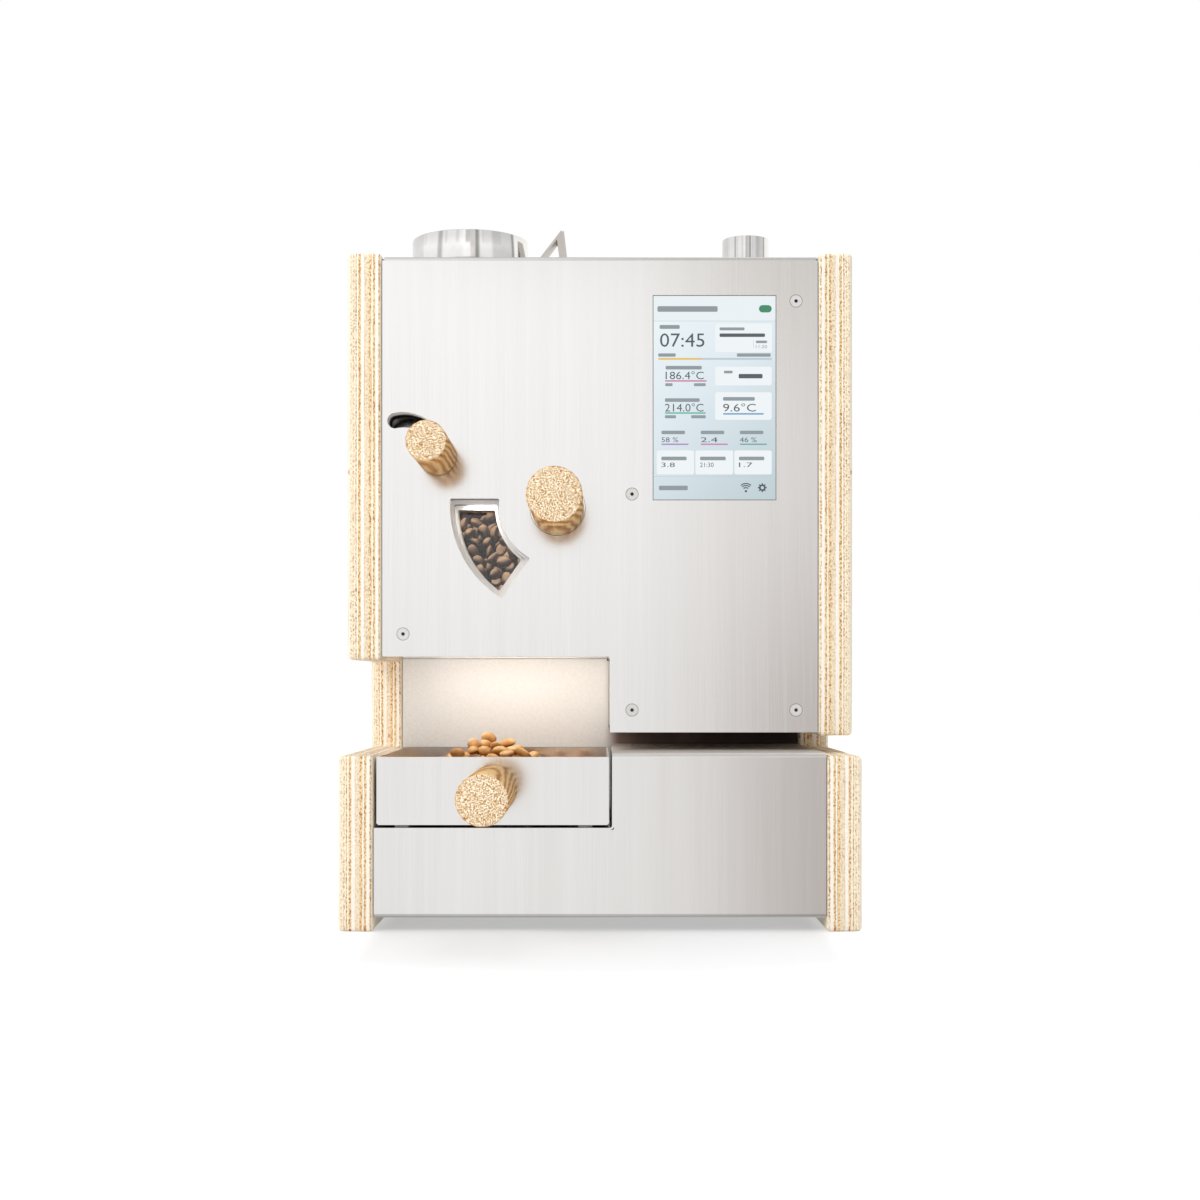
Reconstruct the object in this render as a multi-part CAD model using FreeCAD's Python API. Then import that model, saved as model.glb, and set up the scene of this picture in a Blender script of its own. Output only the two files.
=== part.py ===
"""Countertop drum coffee roaster: plywood side panels, stainless covers, drum, drives, gates and tray.

Frame: +X right, +Y back, +Z up, millimetres.  The sizes below measure Y from the front edge of the base;
every piece is moved by the same amount at the end, so that the origin is the middle of the footprint.
"""
import FreeCAD, Part
import math
import os

# ---------------------------------------------------------------- overall
WIDTH = 375.0           # over both plywood panels
DEPTH = 400.0           # plywood panels, front of the base to the back
HEIGHT = 497.0          # plywood panels
PLY = 25.5              # birch plywood
PLY_ROUND = 3.2         # rounding of the plywood's long edges
SHEET = 1.5             # stainless sheet of the covers
BEND = 1.5              # inside radius of a bend
GAP = 0.3               # clearance between neighbouring pieces
FIT = 0.05              # radial clearance of a shaft in its bore
INSET = 0.5             # sheet faces sit this far behind the plywood's edge

# ---------------------------------------------------------------- levels of the stepped body
BASE_TOP = 125.7        # top of the base
BASE_BOTTOM = 10.0      # underside of the base sheet above the table
HEAD_SETBACK = 48.0     # the upper housing's face behind the base's face
RECESS_DEPTH = 180.0    # back wall of the recess, from the base's face
NOTCH_LEFT = 195.0      # height of the left panel's notch
NOTCH_RIGHT = 138.6     # height of the right panel's notch
COVER_LIP = 2.5         # the cover's lower edge stands above the notch
COVER_DROP = 2.4        # the cover's top lies below the plywood's top
STEP_X = 7.4            # the cover's lower edge steps here
COVER_ROUND = 2.2       # rounding of the step's corners
BASE_RISE = 2.1         # the base's sheet stands above the plywood beside it
RELIEF_R = 1.5          # bend relief at the corner of the base's opening
TRAY_RELIEF_R = 1.0     # and at the lower corners of the tray's front
BACK_FLANGE = 14.0      # the recess's back wall is turned back at its foot
REAR_SCREW_EDGE = 8.0   # rear screws to the cover's sides
RAIL_W = 16.0
RAIL_THICK = 2.0
KNOB_EASE = 1.0         # eased rims of the oak knobs
FLOOR_SLOTS = 8

# ---------------------------------------------------------------- edges that the places are measured from
INNER = WIDTH / 2 - PLY                         # inner faces of the panels
SIDE = INNER - GAP                              # half width of everything between the panels
HEAD_Y = HEAD_SETBACK + INSET                   # face of the front cover
BASE_Y = INSET                                  # face of the base cover
REAR_Y = DEPTH - 2.5                            # outer face of the rear cover
BASE_COVER_TOP = BASE_TOP + BASE_RISE
COVER_TOP = HEIGHT - COVER_DROP
COVER_LEFT = NOTCH_LEFT + COVER_LIP             # lower edge, left of the step
COVER_RIGHT = NOTCH_RIGHT + COVER_LIP
COVER_BACK = HEAD_Y + SHEET                     # inner face of the front cover
UNDER_TOP = COVER_TOP - SHEET - GAP             # what stands under the cover's top ends here
PAN_TOP = COVER_LEFT + SHEET + GAP              # what stands on the belly pan starts here
FLOOR = BASE_BOTTOM + SHEET                     # inside of the base's bottom

# ---------------------------------------------------------------- roasting chamber
DRUM_X = -INNER + 131.6
DRUM_Z = COVER_LEFT + 112.1
DRUM_R = 84.0           # inside radius
DRUM_WALL = 1.5
DRUM_LENGTH = 110.0
DRUM_CLEAR = 4.5        # drum to chamber shell
DRUM_HUB_R = 18.0
DRUM_HUB_L = 10.0
DRUM_BACK = 2.0
DRUM_SLACK = 1.0        # drum's rim to the bulkhead
DRUM_HOLE_R = 3.0
DRUM_HOLE_RINGS = (37.8, 56.3, 72.2)
DRUM_HOLE_PITCH = 25.0
HUB_BOSS = 4.0
SHELL_WALL = 1.5
JACKET = 12.0           # insulation
BULKHEAD_Y = HEAD_SETBACK + 42.0                # front face of the bulkhead
PLATE = 4.0             # bulkhead, rear plate and drive bracket
CHAMBER_LENGTH = 122.0
VANES = 4
VANE_DEPTH = 20.0
VANE_THICK = 1.6
VANE_PITCH = 14.0       # degrees
VANE_ENDS = 7.0
PLATE_BELOW = 109.6     # rear plate, below and above the drum's axis
PLATE_ABOVE = 115.4
PROBE_X = DRUM_X + 40.4
PROBE_Z = DRUM_Z - 47.6
PROBE_R = 1.5
PROBE_NECK_R = 2.0
PROBE_REACH = 50.0

# ---------------------------------------------------------------- window, display, screws
WINDOW_R0 = 44.7
WINDOW_R1 = 81.1
WINDOW_TOP = 5.2        # the straight upper edge, above the drum axis
WINDOW_ANGLE = 234.8    # way of the lower edge, degrees
WINDOW_FOOT = 5.1       # its line passes this far beside the drum's axis
WINDOW_ENDS = 1.65      # the straight edges step in this much more than the arcs
WINDOW_STEP = 3.9       # the bezel's inner step
WINDOW_SEAT = 2.5       # the glass overlaps the step by this much
BEZEL_WALL = 3.0
GLASS = 3.0
SCREEN_W = 91.3
SCREEN_H = 151.9
SCREEN_X = INNER - 31.3 - SCREEN_W / 2
SCREEN_Z = COVER_TOP - 29.0 - SCREEN_H / 2
SCREEN_BEZEL = 5.0      # glass hidden behind the cover round the cut-out
SCREEN_GLASS = 1.8
SCREEN_THICK = 12.0
SCREEN_ROUND = 3.0
SCREEN_FOOT_R = 3.5
SCREW_HEAD_R = 4.5      # M4 countersunk
SCREW_R = 2.0
SCREW_LENGTH = 16.0
SCREW_EDGE = 16.4       # screws to the panels' inner faces
SCREW_SOCKET = 1.45
PILLAR_R = 5.0

# ---------------------------------------------------------------- lever, rack and discharge gate
LEVER_X = -INNER + 15.9
LEVER_Z = DRUM_Z + 38.2
LEVER_R = 25.5          # pivot to knob
LEVER_REST = -4.0       # degrees from +X towards +Z
LEVER_SWING = 108.0     # degrees
LEVER_ARM = 4.0         # thickness of the arm
LEVER_BUSH_R = 7.0
SLOT_HALF = 5.7
SLOT_STEP = 0.25        # each ledge of the guide stands in by this much
SLOT_LEDGES = 4
SLOT_RIM = 4.0
SLOT_GUIDE = 20.0       # depth of the guide
LEVER_KNOB_R = 14.3
LEVER_KNOB_L = 82.0
SHAFT_R = 4.0
STEM_R = 3.0
STEM_DEPTH = 20.0       # stems run this far into the knobs
STEM_ROOM = 0.5
RACK_MODULE = 1.25
RACK_TEETH = 16         # teeth of the lever's pinion
RACK_FACE = 8.0         # width of the teeth
RACK_BAR = 9.0
GATE_PORT_W = 32.0      # discharge opening in the bulkhead
GATE_PORT_H = 17.0
GATE_PORT_X = DRUM_X + 4.4
GATE_PORT_Z = DRUM_Z - 72.1
GATE_EDGE = 4.0         # gate plate round its port
GATE_THICK = 4.0
GUIDE_LIP = 3.0
GUIDE_WALL = 6.0
GUIDE_HIGH = 15.0
CHUTE_DROP_X = DRUM_X - 33.6                    # middle of the chute's mouth over the tray
CHUTE_APRON = 8.0       # the chute's mouth stays this far in front of the gate

# ---------------------------------------------------------------- trier
TRIER_R = 9.5
TRIER_WALL = 1.2
TRIER_X = DRUM_X - 1.1
TRIER_Z = DRUM_Z - 1.8
TRIER_TRAVEL = 120.0
TRIER_DEPTH = TRIER_TRAVEL + 20.0               # tube behind the cover
TRIER_KNOB_R = 19.5
TRIER_KNOB_L = 92.0
TRIER_RING_R = 20.4
TRIER_RING = 1.8
BUSHING_WALL = 3.0
TRIER_STEM_DEPTH = 24.0

# ---------------------------------------------------------------- tray
TRAY_LEFT = 2.3         # tray to left panel
TRAY_RIGHT = STEP_X - 1.0                       # right side of the tray
TRAY_BOTTOM = 76.4
TRAY_TOP = BASE_TOP - 0.7
TRAY_LENGTH = RECESS_DEPTH - 5.0
TRAY_HOLE_R = 42.0      # air is drawn down through it
TRAY_HOLE_Y = RECESS_DEPTH / 2 + 5.0
TRAY_LEDGE = 7.0
OPENING_RIGHT = STEP_X + 1.2
OPENING_BOTTOM = TRAY_BOTTOM - 2.1
WELL_BACK = RECESS_DEPTH + 12.0
TRAY_X0 = -INNER + TRAY_LEFT
TRAY_KNOB_X = (TRAY_X0 + TRAY_RIGHT) / 2
TRAY_KNOB_Z = (TRAY_BOTTOM + TRAY_TOP) / 2 + 1.3
TRAY_KNOB_R = 17.5
TRAY_KNOB_L = 112.0
TRAY_STEM_DEPTH = 28.0
SCREEN_RISE = 10.0      # perforated screen above the tray's floor
SCREEN_COLUMNS = 6
SCREEN_ROWS = 14
GLIDE_EDGE = 12.0
GLIDE_W = 10.0
LAMP_X0 = -INNER + 37.0
LAMP_X1 = STEP_X - 27.4
LAMP_Y0 = BULKHEAD_Y + PLATE + 18.0
LAMP_WIDE = 12.0
LAMP_RIM = 3.0
LAMP_HIGH = 5.0

# ---------------------------------------------------------------- hopper and exhaust, on top
HOPPER_X = -INNER + 61.0
HOPPER_Y = HEAD_SETBACK + 67.0
HOPPER_R = 45.0
HOPPER_TOP = COVER_TOP + 26.2
HOPPER_WALL = 1.2
HOPPER_FLOOR = 8.0
HOPPER_PORT_R = 26.0
SLIDE_W = 60.0
SLIDE_THICK = 1.8
SLIDE_RAIL = 10.0
SLIDE_BED = 2.0
SLIDE_HIGH = 4.6
GRIP_W = 20.0
GRIP_REACH = 72.3       # hopper's axis to the grip's ridge
GRIP_POST = 5.6         # thickness of the grip's leg
GRIP_LEAN = 4.0
GRIP_TOP = COVER_TOP + 34.6
FUNNEL_SHEET = 1.2
FUNNEL_FLANGE = 7.0
INLET_PORT_X = DRUM_X - 37.6                    # the beans' way in through the bulkhead
INLET_PORT_Z0 = DRUM_Z + 43.4
INLET_PORT_Z1 = DRUM_Z + 71.4
INLET_HALF_X = 18.0     # half size of the chute under the funnel
INLET_HALF_Y = 13.0
INLET_NECK_Y = BULKHEAD_Y - 16.0                # middle of the chute
INLET_NECK_Z = DRUM_Z + 108.4                   # where the chute takes over from the funnel
INLET_DROP = 33.0       # fall of the chute's floor
EXHAUST_X = INNER - 37.3
EXHAUST_R = 20.0
EXHAUST_TOP = COVER_TOP + 60.9
EXHAUST_WALL = 1.2
EXHAUST_FLANGE = 8.0

# ---------------------------------------------------------------- drum drive
GEAR_MODULE = 1.75
GEAR_TEETH = 48
PINION_TEETH = 16
GEAR_FACE = 10.0
GEAR_HUB_R = 14.0
GEAR_BOSS = 4.0
BACKLASH = 0.12         # each flank gives way by this much
DRUM_SHAFT_R = 8.0
BEARING_R = 20.0
BEARING_W = 14.0
MOTOR_R = 30.0
MOTOR_L = 80.0
MOTOR_BORE = 8.0
GEAR_STANDOFF = 38.0    # drive bracket behind the rear plate
POST_R = 5.0
POST_OUT = 8.0          # posts stand this far outside the plate

# ---------------------------------------------------------------- air
BLOWER_X = INNER - 67.0
BLOWER_Z = DRUM_Z - 83.6
BLOWER_R = 36.0
BLOWER_WALL = 1.6
BLOWER_EYE_R = 20.0
ROTOR_R = 30.0
ROTOR_EYE_R = 19.0
ROTOR_HUB_R = 7.0
ROTOR_ROOM = 4.0
ROTOR_SHAFT = 14.0
DUCT_DEPTH = 36.0
DUCT_SHEET = 1.2
HEATER_X0 = DRUM_X - 50.0
HEATER_X1 = BLOWER_X - BLOWER_R - 19.4
HEATER_HIGH = 30.0
HEATER_Z1 = BLOWER_Z + BLOWER_R
COIL_R = 4.0
COIL_FIN_R = 11.0
COIL_FINS = 13
AIR_PORTS = 6
AIR_PORT_R = 4.5
AIR_PORT_EDGE = 15.0
OUTLET_X0 = DRUM_X + 10.4                       # exhaust duct, its left end
OUTLET_Z0 = DRUM_Z + 50.4
OUTLET_Z1 = DRUM_Z + 78.4
OUTLET_W = 26.0
OUTLET_EDGE = 6.0
FAN_SIZE = 80.0
FAN_DEPTH = 25.0
FAN_HUB_R = 15.0
FAN_PIN_R = 3.0
FAN_PLATE = 5.0
FAN_X = TRAY_KNOB_X
FAN_Z = BASE_BOTTOM + 48.0

# ---------------------------------------------------------------- electronics and rear connections
BOARD_X0 = INNER - 132.0
BOARD_LIFT = 10.0
BOARD_THICK = 1.6
BOARD_W = 110.0
BOARD_L = 100.0
BOARD_Y0 = BASE_Y + 29.5
SUPPLY_L = 130.0
SUPPLY_W = 100.0
SUPPLY_H = 42.0
SUPPLY_VENTS = 10
SUPPLY_BACK = REAR_Y - 52.5
INLET_X = INNER - 57.0
SWITCH_X = INLET_X + 28.0
REAR_Z = BASE_BOTTOM + 50.0
INLET_HALF = 14.0
INLET_HIGH = 10.0
INLET_DEPTH = 22.0
SWITCH_HALF = 6.5
SWITCH_HIGH = 9.5
SWITCH_DEPTH = 14.0
ENTRY_RIM = 4.0
ROCKER_PIN = 4.0        # the rocker's pin behind the rear cover
ROCKER_PIN_R = 1.2
SWITCH_TILT = 10.0
VENT_ROWS = 9
VENT_W = 60.0
VENT_PITCH = 12.0
VENT_Z = COVER_TOP - 164.6

# ---------------------------------------------------------------- worked out from the sizes above
BULKHEAD_BACK = BULKHEAD_Y + PLATE
REAR_PLATE_Y = BULKHEAD_BACK + CHAMBER_LENGTH
REAR_PLATE_BACK = REAR_PLATE_Y + PLATE
DUCT_BACK = REAR_PLATE_BACK + DUCT_DEPTH
EXHAUST_Y = REAR_PLATE_BACK + EXHAUST_R + 1.0
SHELL_R = DRUM_R + DRUM_WALL + DRUM_CLEAR
JACKET_R = SHELL_R + SHELL_WALL + GAP + JACKET
GEAR_R = GEAR_MODULE * GEAR_TEETH / 2
PINION_R = GEAR_MODULE * PINION_TEETH / 2
MOTOR_X = DRUM_X + GEAR_R + PINION_R
GEAR_Y = REAR_PLATE_BACK + BEARING_W + 6.0
BRACKET_Y = REAR_PLATE_BACK + GEAR_STANDOFF
RACK_PITCH_R = RACK_MODULE * RACK_TEETH / 2
GATE_LIFT = RACK_PITCH_R * math.radians(LEVER_SWING)
LEVER_KNOB_BACK = HEAD_Y - 3.0
TRIER_KNOB_BACK = HEAD_Y - GAP - TRIER_RING - 0.7
FRONT_Y = BASE_Y - GAP - TRAY_KNOB_L            # front of the tray's knob, the foremost point
Y_MIDDLE = (FRONT_Y + DEPTH) / 2
SCREEN_Y = COVER_BACK + GAP                     # front of the display glass
PORT_Z0 = GATE_PORT_Z - GATE_PORT_H / 2
PORT_Z1 = GATE_PORT_Z + GATE_PORT_H / 2
PORT_X0 = GATE_PORT_X - GATE_PORT_W / 2
PORT_X1 = GATE_PORT_X + GATE_PORT_W / 2
SCREW_PLACES = (
    (INNER - SCREW_EDGE, COVER_TOP - 33.1),
    (SCREEN_X - SCREEN_W / 2 - 15.6, COVER_TOP - 176.5),
    (-INNER + SCREW_EDGE - 0.7, COVER_LEFT + 16.7),
    (STEP_X + 16.4, COVER_RIGHT + 16.6),
    (INNER - SCREW_EDGE, COVER_RIGHT + 16.6),
)


# ---------------------------------------------------------------- helpers
def vec(x, y, z):
    return FreeCAD.Vector(x, y, z)


def block(x0, x1, y0, y1, z0, z1):
    return Part.makeBox(x1 - x0, y1 - y0, z1 - z0, vec(x0, y0, z0))


def rod_x(y, z, r, x0, x1):
    return Part.makeCylinder(r, x1 - x0, vec(x0, y, z), vec(1, 0, 0))


def rod_y(x, z, r, y0, y1):
    return Part.makeCylinder(r, y1 - y0, vec(x, y0, z), vec(0, 1, 0))


def rod_z(x, y, r, z0, z1):
    return Part.makeCylinder(r, z1 - z0, vec(x, y, z0), vec(0, 0, 1))


def tube_y(x, z, r_out, r_in, y0, y1):
    return rod_y(x, z, r_out, y0, y1).cut(rod_y(x, z, r_in, y0 - 1, y1 + 1))


def tube_z(x, y, r_out, r_in, z0, z1):
    return rod_z(x, y, r_out, z0, z1).cut(rod_z(x, y, r_in, z0 - 1, z1 + 1))


def prism(points, direction):
    """Straight-sided solid: a closed outline of 3-D points pushed along direction."""
    return Part.Face(Part.makePolygon(points + points[:1])).extrude(direction)


def prism_y(outline, y0, y1):
    return prism([vec(x, y0, z) for x, z in outline], vec(0, y1 - y0, 0))


def prism_x(outline, x0, x1):
    return prism([vec(x0, y, z) for y, z in outline], vec(x1 - x0, 0, 0))


def fuse(shapes):
    first, rest = shapes[0], shapes[1:]
    return first.fuse(rest).removeSplitter() if rest else first


def round_edges(shape, axis, radius):
    """Fillet the straight edges that run along axis."""
    edges = []
    for edge in shape.Edges:
        if edge.Curve.TypeId != "Part::GeomLine":
            continue
        way = edge.Vertexes[1].Point.sub(edge.Vertexes[0].Point)
        if abs(way.normalize().dot(axis)) > 0.999:
            edges.append(edge)
    return shape.makeFillet(radius, edges)


def folded_outline(path, thickness, bend, place):
    """Closed face of a sheet folded along path, the middle line, as (a, b) pairs; place makes points 3-D."""
    middle = bend + thickness / 2
    half = thickness / 2
    sides = {1: [], -1: []}
    starts = {}
    count = len(path)
    for side in (1, -1):
        last = None
        for i, (a, b) in enumerate(path):
            before = path[max(i - 1, 0)]
            after = path[min(i + 1, count - 1)]
            d1 = (a - before[0], b - before[1]) if i else (after[0] - a, after[1] - b)
            d2 = (after[0] - a, after[1] - b) if i < count - 1 else d1
            l1, l2 = math.hypot(*d1), math.hypot(*d2)
            d1, d2 = (d1[0] / l1, d1[1] / l1), (d2[0] / l2, d2[1] / l2)
            n1, n2 = (-d1[1], d1[0]), (-d2[1], d2[0])
            turn = math.atan2(d1[0] * d2[1] - d1[1] * d2[0], d1[0] * d2[0] + d1[1] * d2[1])
            if i in (0, count - 1):
                here = (a + n1[0] * side * half, b + n1[1] * side * half)
                if last:
                    sides[side].append(Part.makeLine(place(*last), place(*here)))
                starts.setdefault((side, "start"), here)
                starts[(side, "end")] = here
                last = here
                continue
            reach = middle * math.tan(abs(turn) / 2)
            sign = 1 if turn > 0 else -1
            enter = (a - d1[0] * reach, b - d1[1] * reach)
            leave = (a + d2[0] * reach, b + d2[1] * reach)
            centre = (enter[0] + n1[0] * sign * middle, enter[1] + n1[1] * sign * middle)
            out = (a - centre[0], b - centre[1])
            far = math.hypot(*out)
            radius = middle - sign * side * half
            p1 = (enter[0] + n1[0] * side * half, enter[1] + n1[1] * side * half)
            p3 = (leave[0] + n2[0] * side * half, leave[1] + n2[1] * side * half)
            p2 = (centre[0] + out[0] / far * radius, centre[1] + out[1] / far * radius)
            sides[side].append(Part.makeLine(place(*last), place(*p1)))
            sides[side].append(Part.Arc(place(*p1), place(*p2), place(*p3)).toShape())
            last = p3
    caps = [Part.makeLine(place(*starts[(1, end)]), place(*starts[(-1, end)])) for end in ("start", "end")]
    edges = Part.__sortEdges__(sides[1] + sides[-1] + caps)
    return Part.Face(Part.Wire(edges))


def folded_x(path, x0, x1, thickness=SHEET, bend=BEND):
    """Sheet folded along (y, z) points, running from x0 to x1."""
    face = folded_outline(path, thickness, bend, lambda y, z: vec(x0, y, z))
    return face.extrude(vec(x1 - x0, 0, 0))


def folded_y(path, y0, y1, thickness=SHEET, bend=BEND):
    """Sheet folded along (x, z) points, running from y0 to y1."""
    face = folded_outline(path, thickness, bend, lambda x, z: vec(x, y0, z))
    return face.extrude(vec(0, y1 - y0, 0))


def polar(x, z, r, degrees):
    a = math.radians(degrees)
    return (x + r * math.cos(a), z + r * math.sin(a))


def arc_slot(half_width, y0, y1):
    """Slot swept by the lever's stem, grown by half_width each way."""
    ring = tube_y(LEVER_X, LEVER_Z, LEVER_R + half_width, LEVER_R - half_width, y0, y1)
    far = 4 * LEVER_R
    end = LEVER_REST + LEVER_SWING
    wedge = [(LEVER_X, LEVER_Z)]
    wedge += [polar(LEVER_X, LEVER_Z, far, LEVER_REST + LEVER_SWING * k / 2) for k in range(3)]
    slot = ring.common(prism_y(wedge, y0, y1))
    caps = [rod_y(*polar(LEVER_X, LEVER_Z, LEVER_R, a), half_width, y0, y1) for a in (LEVER_REST, end)]
    return fuse([slot] + caps)


def window_sector(inset, y0, y1, corner=1.5):
    """The sight window's outline pulled in by inset on every side (grown where inset is negative)."""
    ends = inset * WINDOW_ENDS if inset > 0 else inset
    ring = tube_y(DRUM_X, DRUM_Z, WINDOW_R1 - inset, WINDOW_R0 + inset, y0, y1)
    angle = math.radians(WINDOW_ANGLE)
    along = (math.cos(angle), math.sin(angle))
    across = (along[1], -along[0])              # towards the window from its lower edge
    foot = (DRUM_X + across[0] * (ends - WINDOW_FOOT), DRUM_Z + across[1] * (ends - WINDOW_FOOT))
    top = DRUM_Z + WINDOW_TOP - ends
    rise = (top - foot[1]) / along[1]
    far = 3 * WINDOW_R1
    keep = [(foot[0] + along[0] * rise, top), (DRUM_X - far, top), (DRUM_X - far, DRUM_Z - far),
            (foot[0] + along[0] * far, foot[1] + along[1] * far)]
    sector = ring.common(prism_y(keep, y0, y1))
    return round_edges(sector, vec(0, 1, 0), corner)


def involute(angle):
    return math.tan(angle) - angle


def gear(x, z, module, teeth, y0, y1, turn=0.0):
    """Spur gear about a Y axis; a tooth points along turn, degrees from +X towards +Z."""
    pressure = math.radians(20)
    pitch = module * teeth / 2
    base = pitch * math.cos(pressure)
    root, tip = pitch - 1.25 * module, pitch + module
    half_tooth = (math.pi * module / 2 - 2 * BACKLASH) / (2 * pitch) + involute(pressure)

    def flank(r):
        return half_tooth - involute(math.acos(min(1.0, base / r)))

    radii = [root, max(base, root), (pitch + tip) / 2, tip]
    outline = []
    for tooth in range(teeth):
        middle = math.radians(turn) + 2 * math.pi * tooth / teeth
        for r in radii:
            outline.append((x + r * math.cos(middle - flank(max(r, base))),
                            z + r * math.sin(middle - flank(max(r, base)))))
        for r in reversed(radii):
            outline.append((x + r * math.cos(middle + flank(max(r, base))),
                            z + r * math.sin(middle + flank(max(r, base)))))
    return prism_y(outline, y0, y1)


# ---------------------------------------------------------------- plywood panels
def side_panel(side, notch_top):
    """One C-shaped plywood panel; side is -1 for the left and 1 for the right."""
    outline = [(0, 0), (DEPTH, 0), (DEPTH, HEIGHT), (HEAD_SETBACK, HEIGHT), (HEAD_SETBACK, notch_top),
               (RECESS_DEPTH, notch_top), (RECESS_DEPTH, BASE_TOP), (0, BASE_TOP)]
    x0 = INNER if side > 0 else -INNER - PLY
    panel = prism_x(outline, x0, x0 + PLY)
    return panel.makeFillet(PLY_ROUND, panel.Edges)


# ---------------------------------------------------------------- covers
def screw_holes(cover):
    for x, z in SCREW_PLACES:
        head = SCREW_HEAD_R + FIT
        cone = Part.makeCone(head, head - SHEET, SHEET, vec(x, HEAD_Y, z), vec(0, 1, 0))
        cover = cover.cut(cone)
    return cover


def front_cover():
    """One sheet folded over the upper housing: the stepped front and the top."""
    half = SHEET / 2
    path = [(HEAD_Y + half, COVER_RIGHT), (HEAD_Y + half, COVER_TOP - half),
            (REAR_Y - SHEET - GAP, COVER_TOP - half)]
    cover = folded_x(path, -SIDE, SIDE)
    y0, y1 = HEAD_Y - 1, COVER_BACK + 1
    step = block(-WIDTH, STEP_X, y0, y1, COVER_RIGHT - 4 * SHEET, COVER_LEFT)
    cover = cover.cut(round_edges(step, vec(0, 1, 0), COVER_ROUND))
    relief = 2 * SHEET
    for x in (-SIDE, SIDE - SHEET):
        notch = block(x, x + SHEET, HEAD_Y - 1, HEAD_Y + relief, COVER_TOP - relief, COVER_TOP + 1)
        cover = cover.cut(notch)
    cover = cover.cut(arc_slot(SLOT_HALF, y0, y1))
    cover = cover.cut(window_sector(0, y0, y1))
    cover = cover.cut(rod_y(TRIER_X, TRIER_Z, TRIER_R + BUSHING_WALL + GAP, y0, y1))
    screen = block(SCREEN_X - SCREEN_W / 2, SCREEN_X + SCREEN_W / 2, y0, y1,
                   SCREEN_Z - SCREEN_H / 2, SCREEN_Z + SCREEN_H / 2)
    cover = cover.cut(round_edges(screen, vec(0, 1, 0), 1.0))
    cover = screw_holes(cover)
    for x, y, r in ((HOPPER_X, HOPPER_Y, HOPPER_PORT_R), (EXHAUST_X, EXHAUST_Y, EXHAUST_R - EXHAUST_WALL)):
        cover = cover.cut(rod_z(x, y, r, COVER_TOP - 2 * SHEET, COVER_TOP + SHEET))
    return cover


def cover_screws():
    """Five M4 countersunk screws with hexagon sockets."""
    screws = []
    for x, z in SCREW_PLACES:
        depth = SCREW_HEAD_R - SCREW_R
        head = Part.makeCone(SCREW_HEAD_R, SCREW_R, depth, vec(x, HEAD_Y + FIT, z), vec(0, 1, 0))
        shank = rod_y(x, z, SCREW_R, HEAD_Y + depth, HEAD_Y + SCREW_LENGTH)
        corners = [polar(x, z, SCREW_SOCKET, 60 * k) for k in range(6)]
        screws.append(fuse([head, shank]).cut(prism_y(corners, HEAD_Y - 1, HEAD_Y + 1.6)))
    return Part.makeCompound(screws)


def cover_pillars():
    """Tapped pillars between bulkhead and cover; each takes one cover screw."""
    pillars = []
    for x, z in SCREW_PLACES:
        pillar = rod_y(x, z, PILLAR_R, HEAD_Y + SHEET, BULKHEAD_Y)
        head = SCREW_HEAD_R + FIT
        sink = Part.makeCone(head - SHEET, SCREW_R + FIT, head - SHEET - SCREW_R - FIT,
                             vec(x, HEAD_Y + SHEET, z), vec(0, 1, 0))
        bore = rod_y(x, z, SCREW_R + FIT, HEAD_Y, HEAD_Y + SCREW_LENGTH + 2)
        pillars.append(pillar.cut(sink).cut(bore))
    return Part.makeCompound(pillars)


def belly_pan():
    """Stepped floor of the upper housing, behind the cover's lower edge: the recess's ceiling."""
    half = SHEET / 2
    left, right = COVER_LEFT + half, COVER_RIGHT + half
    step = STEP_X + half
    path = [(-SIDE, left), (step, left), (step, right), (SIDE, right)]
    pan = folded_y(path, COVER_BACK + GAP, RECESS_DEPTH + SHEET)
    x0, x1 = CHUTE_DROP_X - GATE_PORT_W / 2, CHUTE_DROP_X + GATE_PORT_W / 2
    y0, y1 = HEAD_Y + CHUTE_APRON, BULKHEAD_Y - 2 * GAP - GATE_THICK - CHUTE_APRON
    mouth = block(x0, x1, y0, y1, COVER_LEFT - 1, PAN_TOP)
    pan = pan.cut(mouth)
    return pan.cut(lamp_box(GAP))


def lamp_box(grow):
    """Space of the recess lamp in the ceiling."""
    return block(LAMP_X0 - grow, LAMP_X1 + grow, LAMP_Y0 - grow, LAMP_Y0 + LAMP_WIDE + grow,
                 COVER_LEFT - grow, COVER_LEFT + LAMP_HIGH)


def recess_lamp():
    """LED lamp set into the recess's ceiling: a lens with its housing above the pan."""
    housing = block(LAMP_X0 - LAMP_RIM, LAMP_X1 + LAMP_RIM,
                    LAMP_Y0 - LAMP_RIM, LAMP_Y0 + LAMP_WIDE + LAMP_RIM, PAN_TOP, COVER_LEFT + LAMP_HIGH + 2)
    return fuse([lamp_box(0), housing])


def recess_back():
    """Back wall of the recess, from the base's top to the belly pan."""
    y0 = RECESS_DEPTH
    low, high = BASE_TOP - 2 * GAP, COVER_LEFT - GAP
    wall = block(-SIDE, SIDE, y0, y0 + SHEET, low, high)
    wall = wall.cut(block(STEP_X - GAP, SIDE + 1, y0 - 1, y0 + 3, COVER_RIGHT - GAP, high + 1))
    wall = wall.cut(block(STEP_X - BEND - GAP, STEP_X, y0 - 1, y0 + 3, high - BEND, high + 1))
    flange = block(-SIDE, SIDE, y0 + SHEET, y0 + BACK_FLANGE, low, low + SHEET)
    return fuse([wall, flange])


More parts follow.
